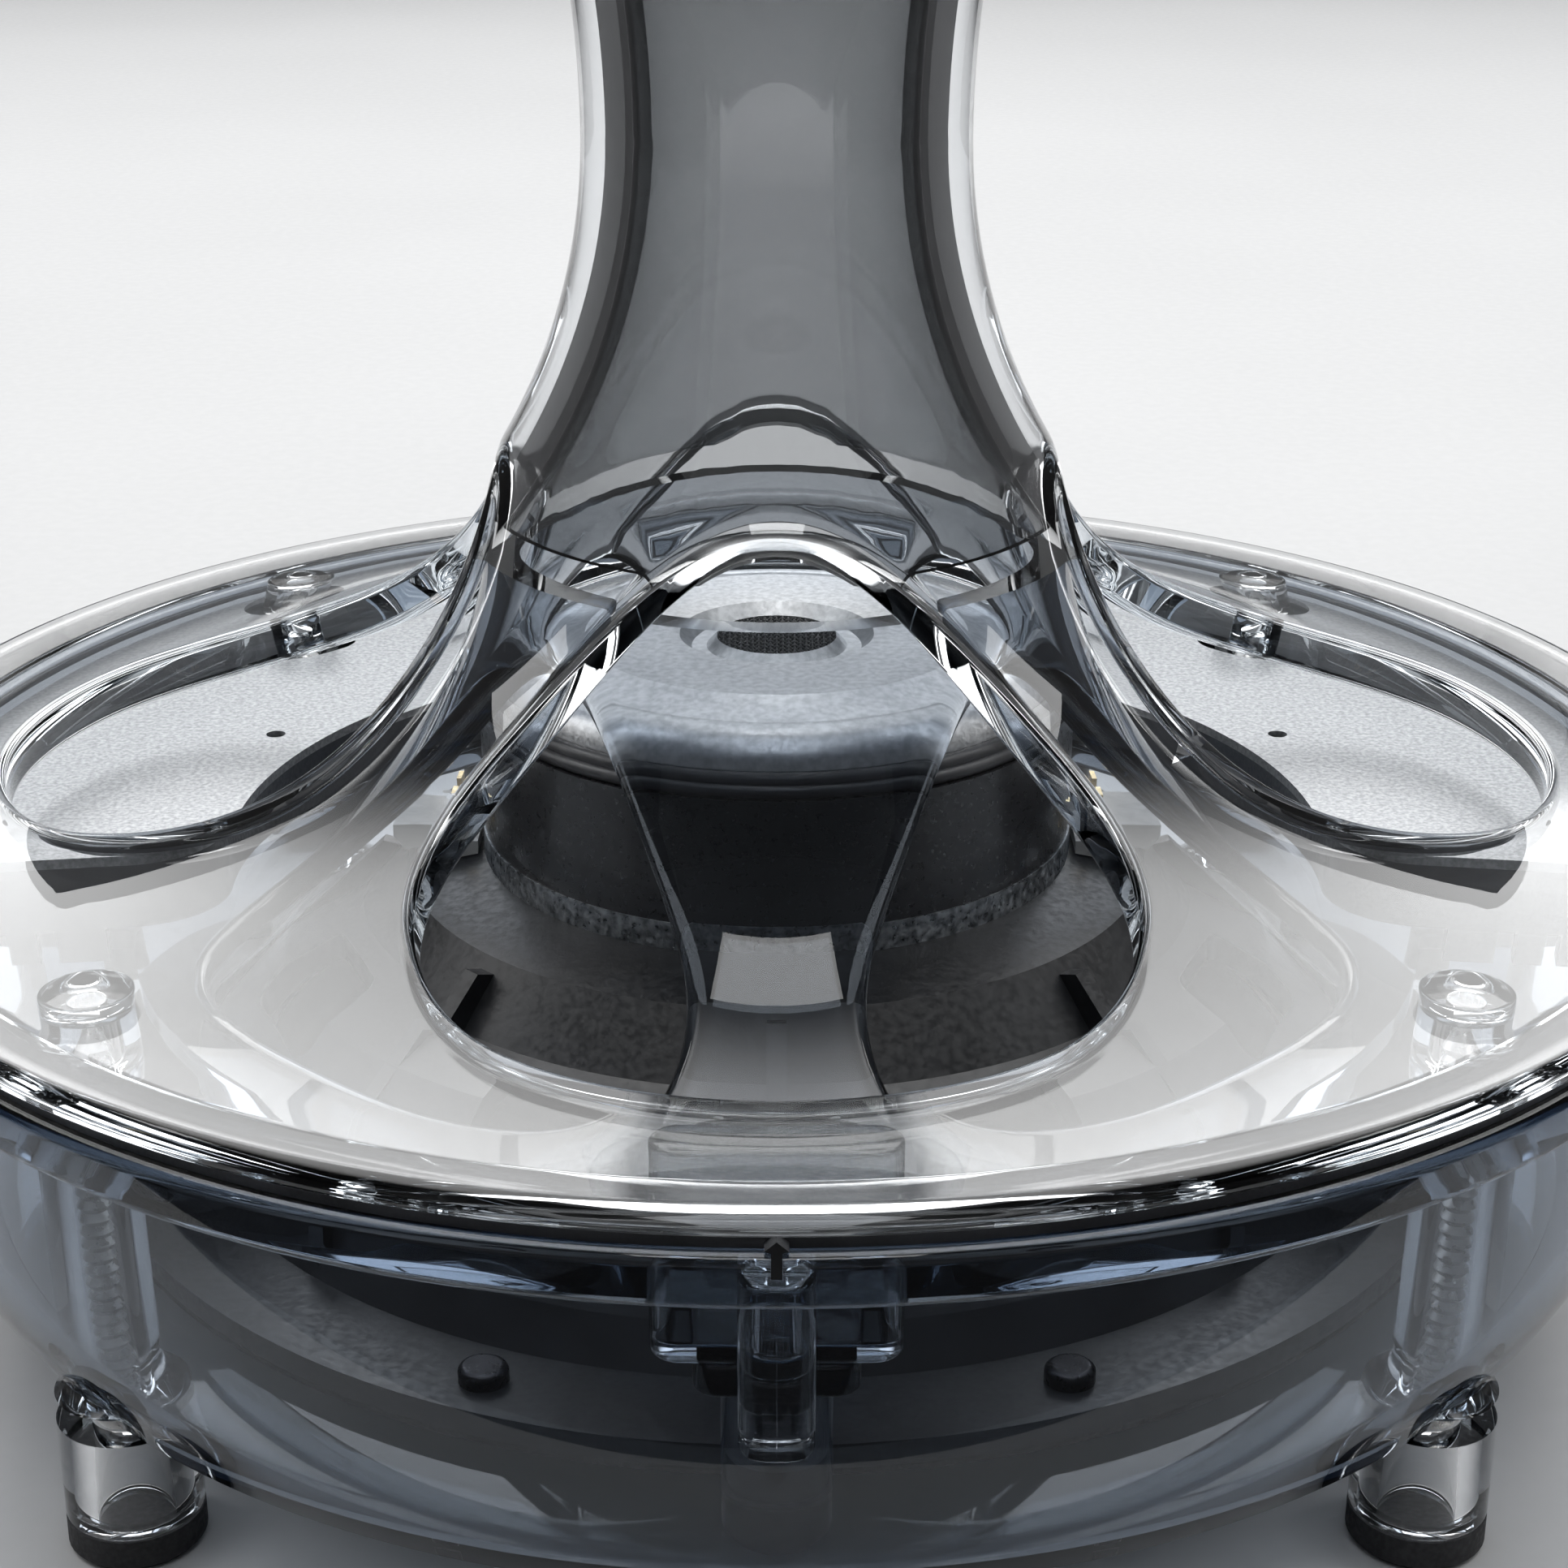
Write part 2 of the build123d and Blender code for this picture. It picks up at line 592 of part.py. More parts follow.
def dust_cap():
    """Shallow dome over the former, glued to the front of the cone."""
    wall = 0.6
    edge = DUST_CAP_EDGE
    sagitta = 5.0
    sphere = (DUST_CAP_RADIUS ** 2 + sagitta ** 2) / (2 * sagitta)
    centre = at(0, edge - sagitta + sphere)
    sweep = math.degrees(math.asin(DUST_CAP_RADIUS / sphere))
    with BuildPart() as cap:
        with BuildSketch(Plane.XZ):
            with BuildLine():
                inside = CenterArc(centre, sphere, 270, sweep)
                outside = CenterArc(centre, sphere + wall, 270, sweep)
                Line(inside @ 0, outside @ 0)
                Line(inside @ 1, outside @ 1)
            make_face()
        revolve(axis=Axis.Z)
    return cap.part


def surround():
    """Half-roll rubber surround with its two glue lips."""
    middle = -45.35
    half = SURROUND_WALL / 2
    outer_roll = SURROUND_ROLL + half
    inner_roll = SURROUND_ROLL - half
    with BuildPart() as roll:
        with BuildSketch(Plane.XZ):
            with BuildLine():
                Polyline(at(SURROUND_CENTRE + inner_roll, middle + half), at(74.2, middle + half),
                         at(74.2, middle - half), at(SURROUND_CENTRE + outer_roll, middle - half))
                ThreePointArc(at(SURROUND_CENTRE + outer_roll, middle - half),
                              at(SURROUND_CENTRE, middle - outer_roll),
                              at(SURROUND_CENTRE - outer_roll, middle - half))
                Polyline(at(SURROUND_CENTRE - outer_roll, middle - half),
                         at(54.5, middle - half), at(54.5, middle + half - 0.2),
                         at(SURROUND_CENTRE - inner_roll, middle + half - 0.2))
                ThreePointArc(at(SURROUND_CENTRE - inner_roll, middle + half - 0.2),
                              at(SURROUND_CENTRE, middle - inner_roll),
                              at(SURROUND_CENTRE + inner_roll, middle + half))
            make_face()
        revolve(axis=Axis.Z)
    return roll.part


def spider():
    """Corrugated centring disc between the former and the basket."""
    inner = FORMER_RADIUS + FORMER_WALL
    wall = 0.6
    waves = 5
    wave_start = 15.0
    wave_end = 36.0
    crest = 0.8
    upper = [at(inner, SPIDER_LEVEL), at(wave_start, SPIDER_LEVEL)]
    step = (wave_end - wave_start) / (2 * waves)
    for index in range(1, 2 * waves):
        drop = crest if index % 2 else 0.0
        upper.append(at(wave_start + index * step, SPIDER_LEVEL - drop))
    upper += [at(wave_end, SPIDER_LEVEL), at(43, SPIDER_LEVEL)]
    lower = [(radius, height - wall) for radius, height in reversed(upper)]
    with BuildPart() as disc:
        with BuildSketch(Plane.XZ):
            with BuildLine():
                Polyline(*upper, *lower, close=True)
            make_face()
        revolve(axis=Axis.Z)
    return disc.part


def terminal_strips():
    """Insulating strips on the basket's shoulder, left and right of the magnet."""
    with BuildPart() as strips:
        with BuildSketch(Plane.XZ.offset(-6)):
            with BuildLine():
                Polyline(at(37, -12.05), at(46, -13.95), at(47.4, -12), at(47.4, -10.4),
                         at(37, -10.4), close=True)
            make_face()
        extrude(amount=12)
        mirror(about=Plane.YZ)
    return strips.part


def terminal_tags():
    """Solder tags that stand on the terminal strips."""
    with BuildPart() as tags:
        with BuildSketch(Plane.XY.offset(level(-10.4))):
            with GridLocations(2 * 40, 6, 2, 2):
                Rectangle(0.6, 3)
        extrude(amount=3.6)
    return tags.part


# ---------------------------------------------------------------- electronics modules
def boss_slot(side):
    """Clearance slot round the rear case boss."""
    angle = 135 if side > 0 else 45
    with BuildSketch() as slot:
        with PolarLocations(BOSS_PLACE, 1, start_angle=angle):
            SlotOverall(16, 12, rotation=90)
    return slot.sketch


def hole_places(side):
    """Plate screw positions of one module."""
    return [(side * x, y) for x, y in MODULE_HOLES]


def module_plate(side):
    """Blasted metal cover plate of a module."""
    bottom = MODULE_PLATE_TOP - MODULE_PLATE_THICKNESS
    with BuildPart() as plate:
        with BuildSketch(Plane.XY.offset(level(bottom))):
            add(module_outline(side))
            add(boss_slot(side), mode=Mode.SUBTRACT)
            with Locations(*hole_places(side)):
                Circle(1.3, mode=Mode.SUBTRACT)
        extrude(amount=MODULE_PLATE_THICKNESS)
    return plate.part


def module_housing(side):
    """Moulded tray that holds a circuit board and stands on the base floor."""
    top = MODULE_PLATE_TOP - MODULE_PLATE_THICKNESS
    floor = MODULE_BOTTOM + MODULE_WALL
    with BuildPart() as tray:
        with BuildSketch(Plane.XY.offset(level(MODULE_BOTTOM))):
            add(module_outline(side))
        extrude(amount=top - MODULE_BOTTOM)
        with BuildSketch(Plane.XY.offset(level(floor))):
            add(module_outline(side, MODULE_WALL))
        extrude(amount=top - floor, mode=Mode.SUBTRACT)
        with BuildSketch(Plane.XY.offset(level(floor))):
            with Locations(*hole_places(side)):
                Circle(2.6)
        extrude(amount=top - floor)
        with BuildSketch(Plane.XY.offset(level(floor + 1))):
            with Locations(*hole_places(side)):
                Circle(1.15)
        extrude(amount=top - floor - 1, mode=Mode.SUBTRACT)
        with BuildSketch(Plane.XY.offset(level(MODULE_BOTTOM))):
            add(boss_slot(side))
        extrude(amount=top - MODULE_BOTTOM, mode=Mode.SUBTRACT)
        with BuildSketch(Plane.XY.offset(level(BASE_FLOOR_TOP))):
            for angle in MODULE_POST_ANGLES:
                turn = angle if side > 0 else 180 - angle
                with PolarLocations(MODULE_POST_PLACE, 1, start_angle=turn):
                    Circle(MODULE_POST_RADIUS)
        extrude(amount=MODULE_BOTTOM - BASE_FLOOR_TOP)
        with BuildSketch(Plane.XY.offset(level(MODULE_BOTTOM - 6))):
            for radius, width in ((86, 6), (93, 3.5), (100, 7)):
                start = MODULE_START + MODULE_SPAN - 3.5
                with PolarLocations(radius, 1, start_angle=start if side > 0 else 180 - start):
                    Rectangle(width, 4)
        extrude(amount=6)
    return tray.part


def circuit_board(side):
    """Board in the floor of a module, cut round the screw bosses."""
    bottom = MODULE_BOTTOM + MODULE_WALL
    with BuildPart() as board:
        with BuildSketch(Plane.XY.offset(level(bottom))):
            add(module_outline(side, MODULE_WALL + 1))
            with Locations(*hole_places(side)):
                Circle(3.2, mode=Mode.SUBTRACT)
            with PolarLocations(BOSS_PLACE, 1, start_angle=135 if side > 0 else 45):
                Circle(10, mode=Mode.SUBTRACT)
        extrude(amount=1.4)
    return board.part


def board_parts(side):
    """Capacitors, coils and chips on a circuit board."""
    bottom = MODULE_BOTTOM + MODULE_WALL + 1.4
    with BuildPart() as pieces:
        for angle, radius, width, depth, height in (
                (118, 82, 9, 12, 2.2), (146, 84, 14, 14, 3.0), (168, 80, 8, 6, 2.4),
                (172, 94, 10, 8, 3.6), (158, 96, 6, 6, 4.2)):
            place = angle if side > 0 else 180 - angle
            with BuildSketch(Plane.XY.offset(level(bottom))):
                with PolarLocations(radius, 1, start_angle=place):
                    Rectangle(width, depth)
            extrude(amount=height)
    return pieces.part


def plate_screws(side):
    """Sunk screws of one cover plate."""
    with BuildPart() as screws:
        with BuildSketch(Plane.XY.offset(level(MODULE_BOTTOM + MODULE_WALL + 1.4))):
            with Locations(*hole_places(side)):
                Circle(1.05)
        extrude(amount=MODULE_PLATE_TOP - 0.7 - MODULE_BOTTOM - MODULE_WALL - 1.4)
    return screws.part


# ---------------------------------------------------------------- build and write
def build_all():
    """Make every piece and write one STEP file for each."""
    os.makedirs("parts", exist_ok=True)
    save(trumpet_shell(), "trumpet_shell")
    save(port_bell(), "port_bell")
    save(inner_cage(), "inner_cage")
    save(port_liner(), "port_liner")
    save(rim_gasket(), "rim_gasket")
    save(key_solid(), "rim_key")
    save(base_bowl(), "base_bowl")
    save(foot_pads(), "foot_pads")
    save(case_screws(), "case_screws")

    save(ring(17.0, MAGNET_RADIUS, MAGNET_BOTTOM, MAGNET_TOP), "magnet_ring")
    save(ring(MAGNET_RADIUS + 0.05, SLEEVE_RADIUS, MAGNET_BOTTOM, MAGNET_TOP), "magnet_sleeve")
    save(magnet_bead(), "magnet_bead")
    save(back_plate(), "back_plate")
    save(vent_mesh(), "vent_mesh")
    save(ring(GAP_RADIUS, 36.6, PLATE_BOTTOM, MAGNET_BOTTOM), "top_plate")

    save(basket(), "basket")
    save(driver_gasket(), "driver_gasket")
    save(driver_screws(), "driver_screws")
    save(terminal_strips(), "terminal_strips")
    save(terminal_tags(), "terminal_tags")

    save(ring(FORMER_RADIUS, FORMER_RADIUS + FORMER_WALL, -31, -7), "coil_former")
    save(ring(FORMER_RADIUS + FORMER_WALL, COIL_OUTER_RADIUS, -14.4, -7), "voice_coil")
    save(cone(), "cone")
    save(dust_cap(), "dust_cap")
    save(surround(), "surround")
    save(spider(), "spider")

    for name, side in SIDES.items():
        save(module_plate(side), f"{name}_cover_plate")
        save(module_housing(side), f"{name}_housing")
        save(circuit_board(side), f"{name}_circuit_board")
        save(board_parts(side), f"{name}_board_parts")
        save(plate_screws(side), f"{name}_plate_screws")


build_all()
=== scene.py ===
import json
import math

import bmesh
import bpy
import numpy as np
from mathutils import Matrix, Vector


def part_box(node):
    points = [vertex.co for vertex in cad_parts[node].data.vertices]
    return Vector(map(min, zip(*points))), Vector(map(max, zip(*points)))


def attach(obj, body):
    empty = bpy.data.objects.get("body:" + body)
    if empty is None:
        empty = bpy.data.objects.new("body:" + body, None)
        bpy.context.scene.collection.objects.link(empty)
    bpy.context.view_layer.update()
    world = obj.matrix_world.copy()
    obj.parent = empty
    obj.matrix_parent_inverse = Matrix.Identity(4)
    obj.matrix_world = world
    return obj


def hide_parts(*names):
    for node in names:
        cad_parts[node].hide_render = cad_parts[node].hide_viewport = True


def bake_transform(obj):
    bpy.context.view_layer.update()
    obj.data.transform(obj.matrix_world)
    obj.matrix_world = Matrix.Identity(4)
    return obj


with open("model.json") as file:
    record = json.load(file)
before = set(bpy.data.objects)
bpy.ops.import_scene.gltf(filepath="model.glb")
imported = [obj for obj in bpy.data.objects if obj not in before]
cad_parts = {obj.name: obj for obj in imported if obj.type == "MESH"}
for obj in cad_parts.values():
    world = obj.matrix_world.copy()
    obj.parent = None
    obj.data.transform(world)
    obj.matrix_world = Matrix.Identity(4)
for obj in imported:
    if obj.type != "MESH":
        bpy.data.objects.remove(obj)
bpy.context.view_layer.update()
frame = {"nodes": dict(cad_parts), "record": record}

MM = 0.001
TAU = 2 * math.pi
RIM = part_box("trumpet_shell")[0].z + 12 * MM      # rim plane, 12 mm above the skirt's bosses
BOSS_PLACE = 99.0                                 # radius of the case bosses' circle, in mm
QUARTER_TURNS = [i * math.pi / 2 for i in range(4)]
BOSS_TURNS = [turn + math.pi / 4 for turn in QUARTER_TURNS]


# ---------------------------------------------------------------- materials
def new_material(name):
    """Empty material with one shader joined to its output."""
    material = bpy.data.materials.new(name)
    material.use_nodes = True
    tree = material.node_tree
    tree.nodes.clear()
    output = tree.nodes.new("ShaderNodeOutputMaterial")
    shader = tree.nodes.new("ShaderNodeBsdfPrincipled")
    tree.links.new(shader.outputs[0], output.inputs["Surface"])
    return material, tree, shader, output


def noise(tree, scale, detail=3.0, stretch=None):
    """Noise in the object's own metres, stretched along an axis if asked."""
    place = tree.nodes.new("ShaderNodeTexCoord")
    texture = tree.nodes.new("ShaderNodeTexNoise")
    texture.inputs["Scale"].default_value = scale
    texture.inputs["Detail"].default_value = detail
    source = place.outputs["Object"]
    if stretch:
        mapping = tree.nodes.new("ShaderNodeMapping")
        mapping.inputs["Scale"].default_value = stretch
        tree.links.new(source, mapping.inputs["Vector"])
        source = mapping.outputs[0]
    tree.links.new(source, texture.inputs["Vector"])
    return texture.outputs["Fac"]


def ramp(tree, source, low, high, start=0.35, end=0.65):
    """Noise spread over a range of values."""
    node = tree.nodes.new("ShaderNodeMapRange")
    node.inputs["From Min"].default_value = start
    node.inputs["From Max"].default_value = end
    node.inputs["To Min"].default_value = low
    node.inputs["To Max"].default_value = high
    tree.links.new(source, node.inputs["Value"])
    return node.outputs[0]


def bump(tree, shader, height, distance):
    """Relief of a given depth in metres."""
    node = tree.nodes.new("ShaderNodeBump")
    node.inputs["Distance"].default_value = distance
    node.inputs["Strength"].default_value = 1.0
    tree.links.new(height, node.inputs["Height"])
    tree.links.new(node.outputs[0], shader.inputs["Normal"])


def opaque(name, dark, light, rough, grain, depth, metallic=0.0, mottle=120.0, stretch=None, **extra):
    """Solid surface: mottled colour, uneven gloss and a fine grain, all by noise."""
    material, tree, shader, _ = new_material(name)
    mix = tree.nodes.new("ShaderNodeMix")
    mix.data_type = "RGBA"
    mix.inputs[6].default_value = (*dark, 1)
    mix.inputs[7].default_value = (*light, 1)
    tree.links.new(ramp(tree, noise(tree, mottle), 0, 1), mix.inputs[0])
    tree.links.new(mix.outputs[2], shader.inputs["Base Color"])
    fine = noise(tree, grain, 2.0, stretch)
    tree.links.new(ramp(tree, fine, *rough), shader.inputs["Roughness"])
    bump(tree, shader, fine, depth)
    shader.inputs["Metallic"].default_value = metallic
    for socket, value in extra.items():
        shader.inputs[socket.replace("_", " ")].default_value = value
    return material


def clear(name, tint, density, rough=(0.0, 0.03), wave=6e-6, shade=(0.96, 0.97, 0.98)):
    """Clear moulded plastic, tinted by its thickness; shade is what its shadow lets through."""
    material, tree, shader, output = new_material(name)
    shader.inputs["Base Color"].default_value = (1, 1, 1, 1)
    shader.inputs["Transmission Weight"].default_value = 1.0
    shader.inputs["IOR"].default_value = 1.49
    tree.links.new(ramp(tree, noise(tree, 260.0), *rough, 0.5, 0.8), shader.inputs["Roughness"])
    bump(tree, shader, noise(tree, 45.0, 1.0), wave)
    through = tree.nodes.new("ShaderNodeBsdfTransparent")
    through.inputs[0].default_value = (*shade, 1)
    path = tree.nodes.new("ShaderNodeLightPath")
    mix = tree.nodes.new("ShaderNodeMixShader")
    tree.links.new(path.outputs["Is Shadow Ray"], mix.inputs[0])
    tree.links.new(shader.outputs[0], mix.inputs[1])
    tree.links.new(through.outputs[0], mix.inputs[2])
    tree.links.new(mix.outputs[0], output.inputs["Surface"])
    depth = tree.nodes.new("ShaderNodeVolumeAbsorption")
    depth.inputs["Color"].default_value = (*tint, 1)
    depth.inputs["Density"].default_value = density
    tree.links.new(depth.outputs[0], output.inputs["Volume"])
    return material


BLACK = (0.006, 0.0065, 0.008)
MATERIALS = {
    "clear_body": clear("clear_body", (0.80, 0.90, 0.98), 9.0),
    "clear_bell": clear("clear_bell", (0.80, 0.90, 0.98), 9.0),
    "clear_cage": clear("clear_cage", (0.52, 0.57, 0.63), 300.0, (0.0, 0.05), shade=(0.7, 0.73, 0.77)),
    "clear_base": clear("clear_base", (0.50, 0.565, 0.64), 300.0, shade=(0.28, 0.31, 0.35)),
    "smoked_film": clear("smoked_film", (0.5, 0.515, 0.53), 2100.0, shade=(0.6, 0.62, 0.64)),
    "rim_seal": opaque("rim_seal", BLACK, (0.014, 0.015, 0.018), (0.42, 0.6), 1800, 2e-5),
    "foot_rubber": opaque("foot_rubber", (0.012, 0.012, 0.013), (0.022, 0.022, 0.024),
                          (0.6, 0.85), 1500, 4e-5),
    "case_screw": opaque("case_screw", (0.42, 0.42, 0.43), (0.62, 0.61, 0.59), (0.2, 0.42),
                         900, 1e-5, 1.0),
    "ferrite": opaque("ferrite", (0.018, 0.018, 0.02), (0.045, 0.045, 0.048), (0.45, 0.7),
                      900, 6e-5),
    "sleeve": opaque("sleeve", (0.010, 0.010, 0.011), (0.014, 0.014, 0.015), (0.26, 0.36),
                     1400, 2.5e-6, 0.0, 60.0, None, Coat_Weight=0.25),
    "bead": opaque("bead", (0.012, 0.012, 0.013), (0.03, 0.03, 0.032), (0.3, 0.5), 900, 3e-5),
    "back_steel": opaque("back_steel", (0.52, 0.525, 0.53), (0.70, 0.705, 0.71), (0.30, 0.46),
                         3200, 1e-5, 1.0, 1100),
    "vent_screen": opaque("vent_screen", (0.01, 0.01, 0.011), (0.03, 0.03, 0.03), (0.4, 0.6),
                          2500, 1e-5),
    "top_steel": opaque("top_steel", (0.16, 0.17, 0.18), (0.4, 0.42, 0.44), (0.25, 0.55),
                        1300, 6e-5, 1.0, 900),
    "basket": opaque("basket", (0.0035, 0.0038, 0.0045), (0.008, 0.0085, 0.01), (0.3, 0.45),
                     1100, 2.5e-5),
    "gasket_foam": opaque("gasket_foam", (0.01, 0.01, 0.01), (0.03, 0.03, 0.03), (0.85, 1.0),
                          1400, 2e-4),
    "driver_screw": opaque("driver_screw", (0.02, 0.02, 0.022), (0.05, 0.05, 0.055), (0.25, 0.4),
                           1500, 1e-5, 1.0),
    "terminal_board": opaque("terminal_board", (0.2, 0.2, 0.2), (0.34, 0.34, 0.33), (0.35, 0.55),
                             900, 2e-5),
    "terminal_tag": opaque("terminal_tag", (0.7, 0.55, 0.3), (0.85, 0.7, 0.42), (0.2, 0.4),
                           900, 1e-5, 1.0),
    "former": opaque("former", (0.5, 0.5, 0.5), (0.7, 0.7, 0.7), (0.2, 0.35), 900, 1e-5, 1.0),
    "coil": opaque("coil", (0.55, 0.2, 0.08), (0.8, 0.36, 0.16), (0.2, 0.4), 2200, 4e-5, 1.0,
                   300.0, (0.05, 0.05, 1.0)),
    "cone_paper": opaque("cone_paper", (0.012, 0.012, 0.012), (0.03, 0.03, 0.03), (0.7, 0.95),
                         700, 2e-4, 0.0, 400.0),
    "cap_paper": opaque("cap_paper", (0.01, 0.01, 0.01), (0.02, 0.02, 0.02), (0.4, 0.6), 900, 8e-5),
    "surround_rubber": opaque("surround_rubber", (0.01, 0.01, 0.011), (0.02, 0.02, 0.021),
                              (0.38, 0.55), 1500, 2e-5),
    "spider_cloth": opaque("spider_cloth", (0.25, 0.12, 0.04), (0.45, 0.25, 0.1), (0.75, 0.95),
                           2200, 2e-4),
    "cover_metal": opaque("cover_metal", (0.26, 0.268, 0.278), (0.40, 0.41, 0.42), (0.42, 0.6),
                          2600, 2.2e-5, 1.0, 1500),
    "housing": opaque("housing", (0.02, 0.022, 0.026), (0.035, 0.039, 0.046), (0.3, 0.5), 1500, 2e-5),
    "board": opaque("board", (0.01, 0.05, 0.03), (0.015, 0.08, 0.045), (0.3, 0.5), 900, 1e-5),
    "board_component": opaque("board_component", (0.02, 0.02, 0.02), (0.06, 0.06, 0.06),
                              (0.4, 0.6), 900, 2e-5),
    "plate_screw": opaque("plate_screw", (0.02, 0.02, 0.02), (0.05, 0.05, 0.05), (0.3, 0.45),
                          900, 1e-5, 1.0),
}
SLOT_OF = {part["node"]: part["material_slot"] for part in frame["record"]["subparts"]}


# ---------------------------------------------------------------- mesh helpers
def piece(name, vertices, faces, slot, body="root", sharp=40, *stands_for):
    """A closed mesh in millimetres round the axis and the rim plane, as a piece of the part."""
    mesh = bpy.data.meshes.new(name)
    points = np.array(vertices, float) * MM + (0, 0, RIM)
    mesh.from_pydata(points.tolist(), [], [list(map(int, f)) for f in faces])
    work = bmesh.new()
    work.from_mesh(mesh)
    bmesh.ops.remove_doubles(work, verts=work.verts, dist=2e-6)
    bmesh.ops.recalc_face_normals(work, faces=work.faces)
    work.to_mesh(mesh)
    work.free()
    mesh.shade_smooth()
    mesh.set_sharp_from_angle(angle=math.radians(sharp))
    mesh.materials.append(MATERIALS[slot])
    made = bpy.data.objects.new(name, mesh)
    bpy.context.scene.collection.objects.link(made)
    if body:
        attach(made, body)
    for node in stands_for:
        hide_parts(node)
    return made


def grid(columns, rows, offset, wrap=True):
    """Quads of a grid stored row by row; the columns close on themselves if wrap is set."""
    faces = []
    for row in range(rows - 1):
        for column in range(columns if wrap else columns - 1):
            following = (column + 1) % columns
            a = offset + row * columns
            faces.append((a + column, a + following, a + columns + following, a + columns + column))
    return faces


def lathe(profile, steps=192, centre=(0.0, 0.0), closed=True):
    """Vertices and faces of a profile of (radius, height) turned round an upright axis."""
    turns = np.linspace(0, TAU, steps, endpoint=False)
    path = list(profile) + ([profile[0]] if closed else [])
    vertices = []
    for radius, height in path:
        for turn in turns:
            vertices.append((centre[0] + radius * math.cos(turn),
                             centre[1] + radius * math.sin(turn), height))
    return vertices, grid(steps, len(path), 0)


def joined(parts):
    """Several (vertices, faces) pairs as one."""
    vertices, faces = [], []
    for some_vertices, some_faces in parts:
        offset = len(vertices)
        vertices += list(some_vertices)
        faces += [tuple(i + offset for i in face) for face in some_faces]
    return vertices, faces


def round_corners(points, radius, steps=5, closed=True):
    """A polyline with its corners rounded; radius is one number or one per corner."""
    points = [np.array(p, float) for p in points]
    count = len(points)
    radii = radius if isinstance(radius, (list, tuple)) else [radius] * count
    result = []
    for index, corner in enumerate(points):
        if not closed and index in (0, count - 1) or radii[index] <= 0:
            result.append(tuple(corner))
            continue
        before = points[index - 1] - corner
        after = points[(index + 1) % count] - corner
        lengths = np.linalg.norm(before), np.linalg.norm(after)
        before, after = before / lengths[0], after / lengths[1]
        half = math.acos(max(-1.0, min(1.0, float(before @ after)))) / 2
        if half > math.radians(88):
            result.append(tuple(corner))
            continue
        reach = min(radii[index] / math.tan(half), 0.48 * min(lengths))
        real = reach * math.tan(half)
        middle = corner + (before + after) / np.linalg.norm(before + after) * real / math.sin(half)
        first, last = corner + before * reach - middle, corner + after * reach - middle
        sweep = math.acos(max(-1.0, min(1.0, float(first @ last) / real ** 2)))
        for step in range(steps + 1):
            share = step / steps
            mixed = (first * math.sin((1 - share) * sweep) + last * math.sin(share * sweep))
            result.append(tuple(middle + mixed / math.sin(sweep)))
    return result


def arc(start, middle, end, steps=24):
    """Points on the circle through three points, from start to end."""
    (ax, ay), (bx, by), (cx, cy) = start, middle, end
    d = 2 * (ax * (by - cy) + bx * (cy - ay) + cx * (ay - by))
    ux = ((ax * ax + ay * ay) * (by - cy) + (bx * bx + by * by) * (cy - ay)
          + (cx * cx + cy * cy) * (ay - by)) / d
    uy = ((ax * ax + ay * ay) * (cx - bx) + (bx * bx + by * by) * (ax - cx)
          + (cx * cx + cy * cy) * (bx - ax)) / d
    radius = math.hypot(ax - ux, ay - uy)
    first, through, last = (math.atan2(y - uy, x - ux) for x, y in (start, middle, end))
    sweep = (last - first) % TAU
    if (through - first) % TAU > sweep:
        sweep -= TAU
    return [(ux + radius * math.cos(first + sweep * i / steps),
             uy + radius * math.sin(first + sweep * i / steps)) for i in range(steps + 1)]


def ellipse(centre_radius, centre_height, across, drop, angles):
    """Profile points of a flare; angle 0 is its throat and 90 degrees its skirt."""
    return [(centre_radius - across * math.cos(t), centre_height - drop * math.sin(t))
            for t in angles]


def smooth_outline(points, count=1600):
    """Closed plan outline through half of its points, mirrored about the X axis.

    The points run outwards from the crown along one side. X is the radius."""
    half = np.array(points, float)
    path = np.vstack([half, half[-2:0:-1] * (1, -1)])
    size = len(path)
    gaps = np.linalg.norm(np.roll(path, -1, 0) - path, axis=1)
    knots = np.concatenate([[0], np.cumsum(gaps)])
    system = np.zeros((size, size))
    right = np.zeros((size, 2))
    for i in range(size):
        h0, h1 = gaps[i - 1], gaps[i]
        system[i, i - 1] += h1
        system[i, i] += 2 * (h0 + h1)
        system[i, (i + 1) % size] += h0
        right[i] = 3 * (h1 * (path[i] - path[i - 1]) / h0 + h0 * (path[(i + 1) % size] - path[i]) / h1)
    slopes = np.linalg.solve(system, right)
    result = []
    for s in np.linspace(0, knots[-1], count, endpoint=False):
        i = min(int(np.searchsorted(knots, s, side="right")) - 1, size - 1)
        h = gaps[i]
        t = (s - knots[i]) / h
        j = (i + 1) % size
        result.append((2 * t ** 3 - 3 * t ** 2 + 1) * path[i] + (t ** 3 - 2 * t ** 2 + t) * h * slopes[i]
                      + (3 * t ** 2 - 2 * t ** 3) * path[j] + (t ** 3 - t ** 2) * h * slopes[j])
    return np.array(result)


def outward(outline):
    """Unit normals of a closed plan outline, away from its middle."""
    tangent = np.roll(outline, -1, 0) - np.roll(outline, 1, 0)
    normal = np.stack([tangent[:, 1], -tangent[:, 0]], 1)
    normal /= np.linalg.norm(normal, axis=1)[:, None]
    return normal if ((outline - outline.mean(0)) * normal).sum() > 0 else -normal


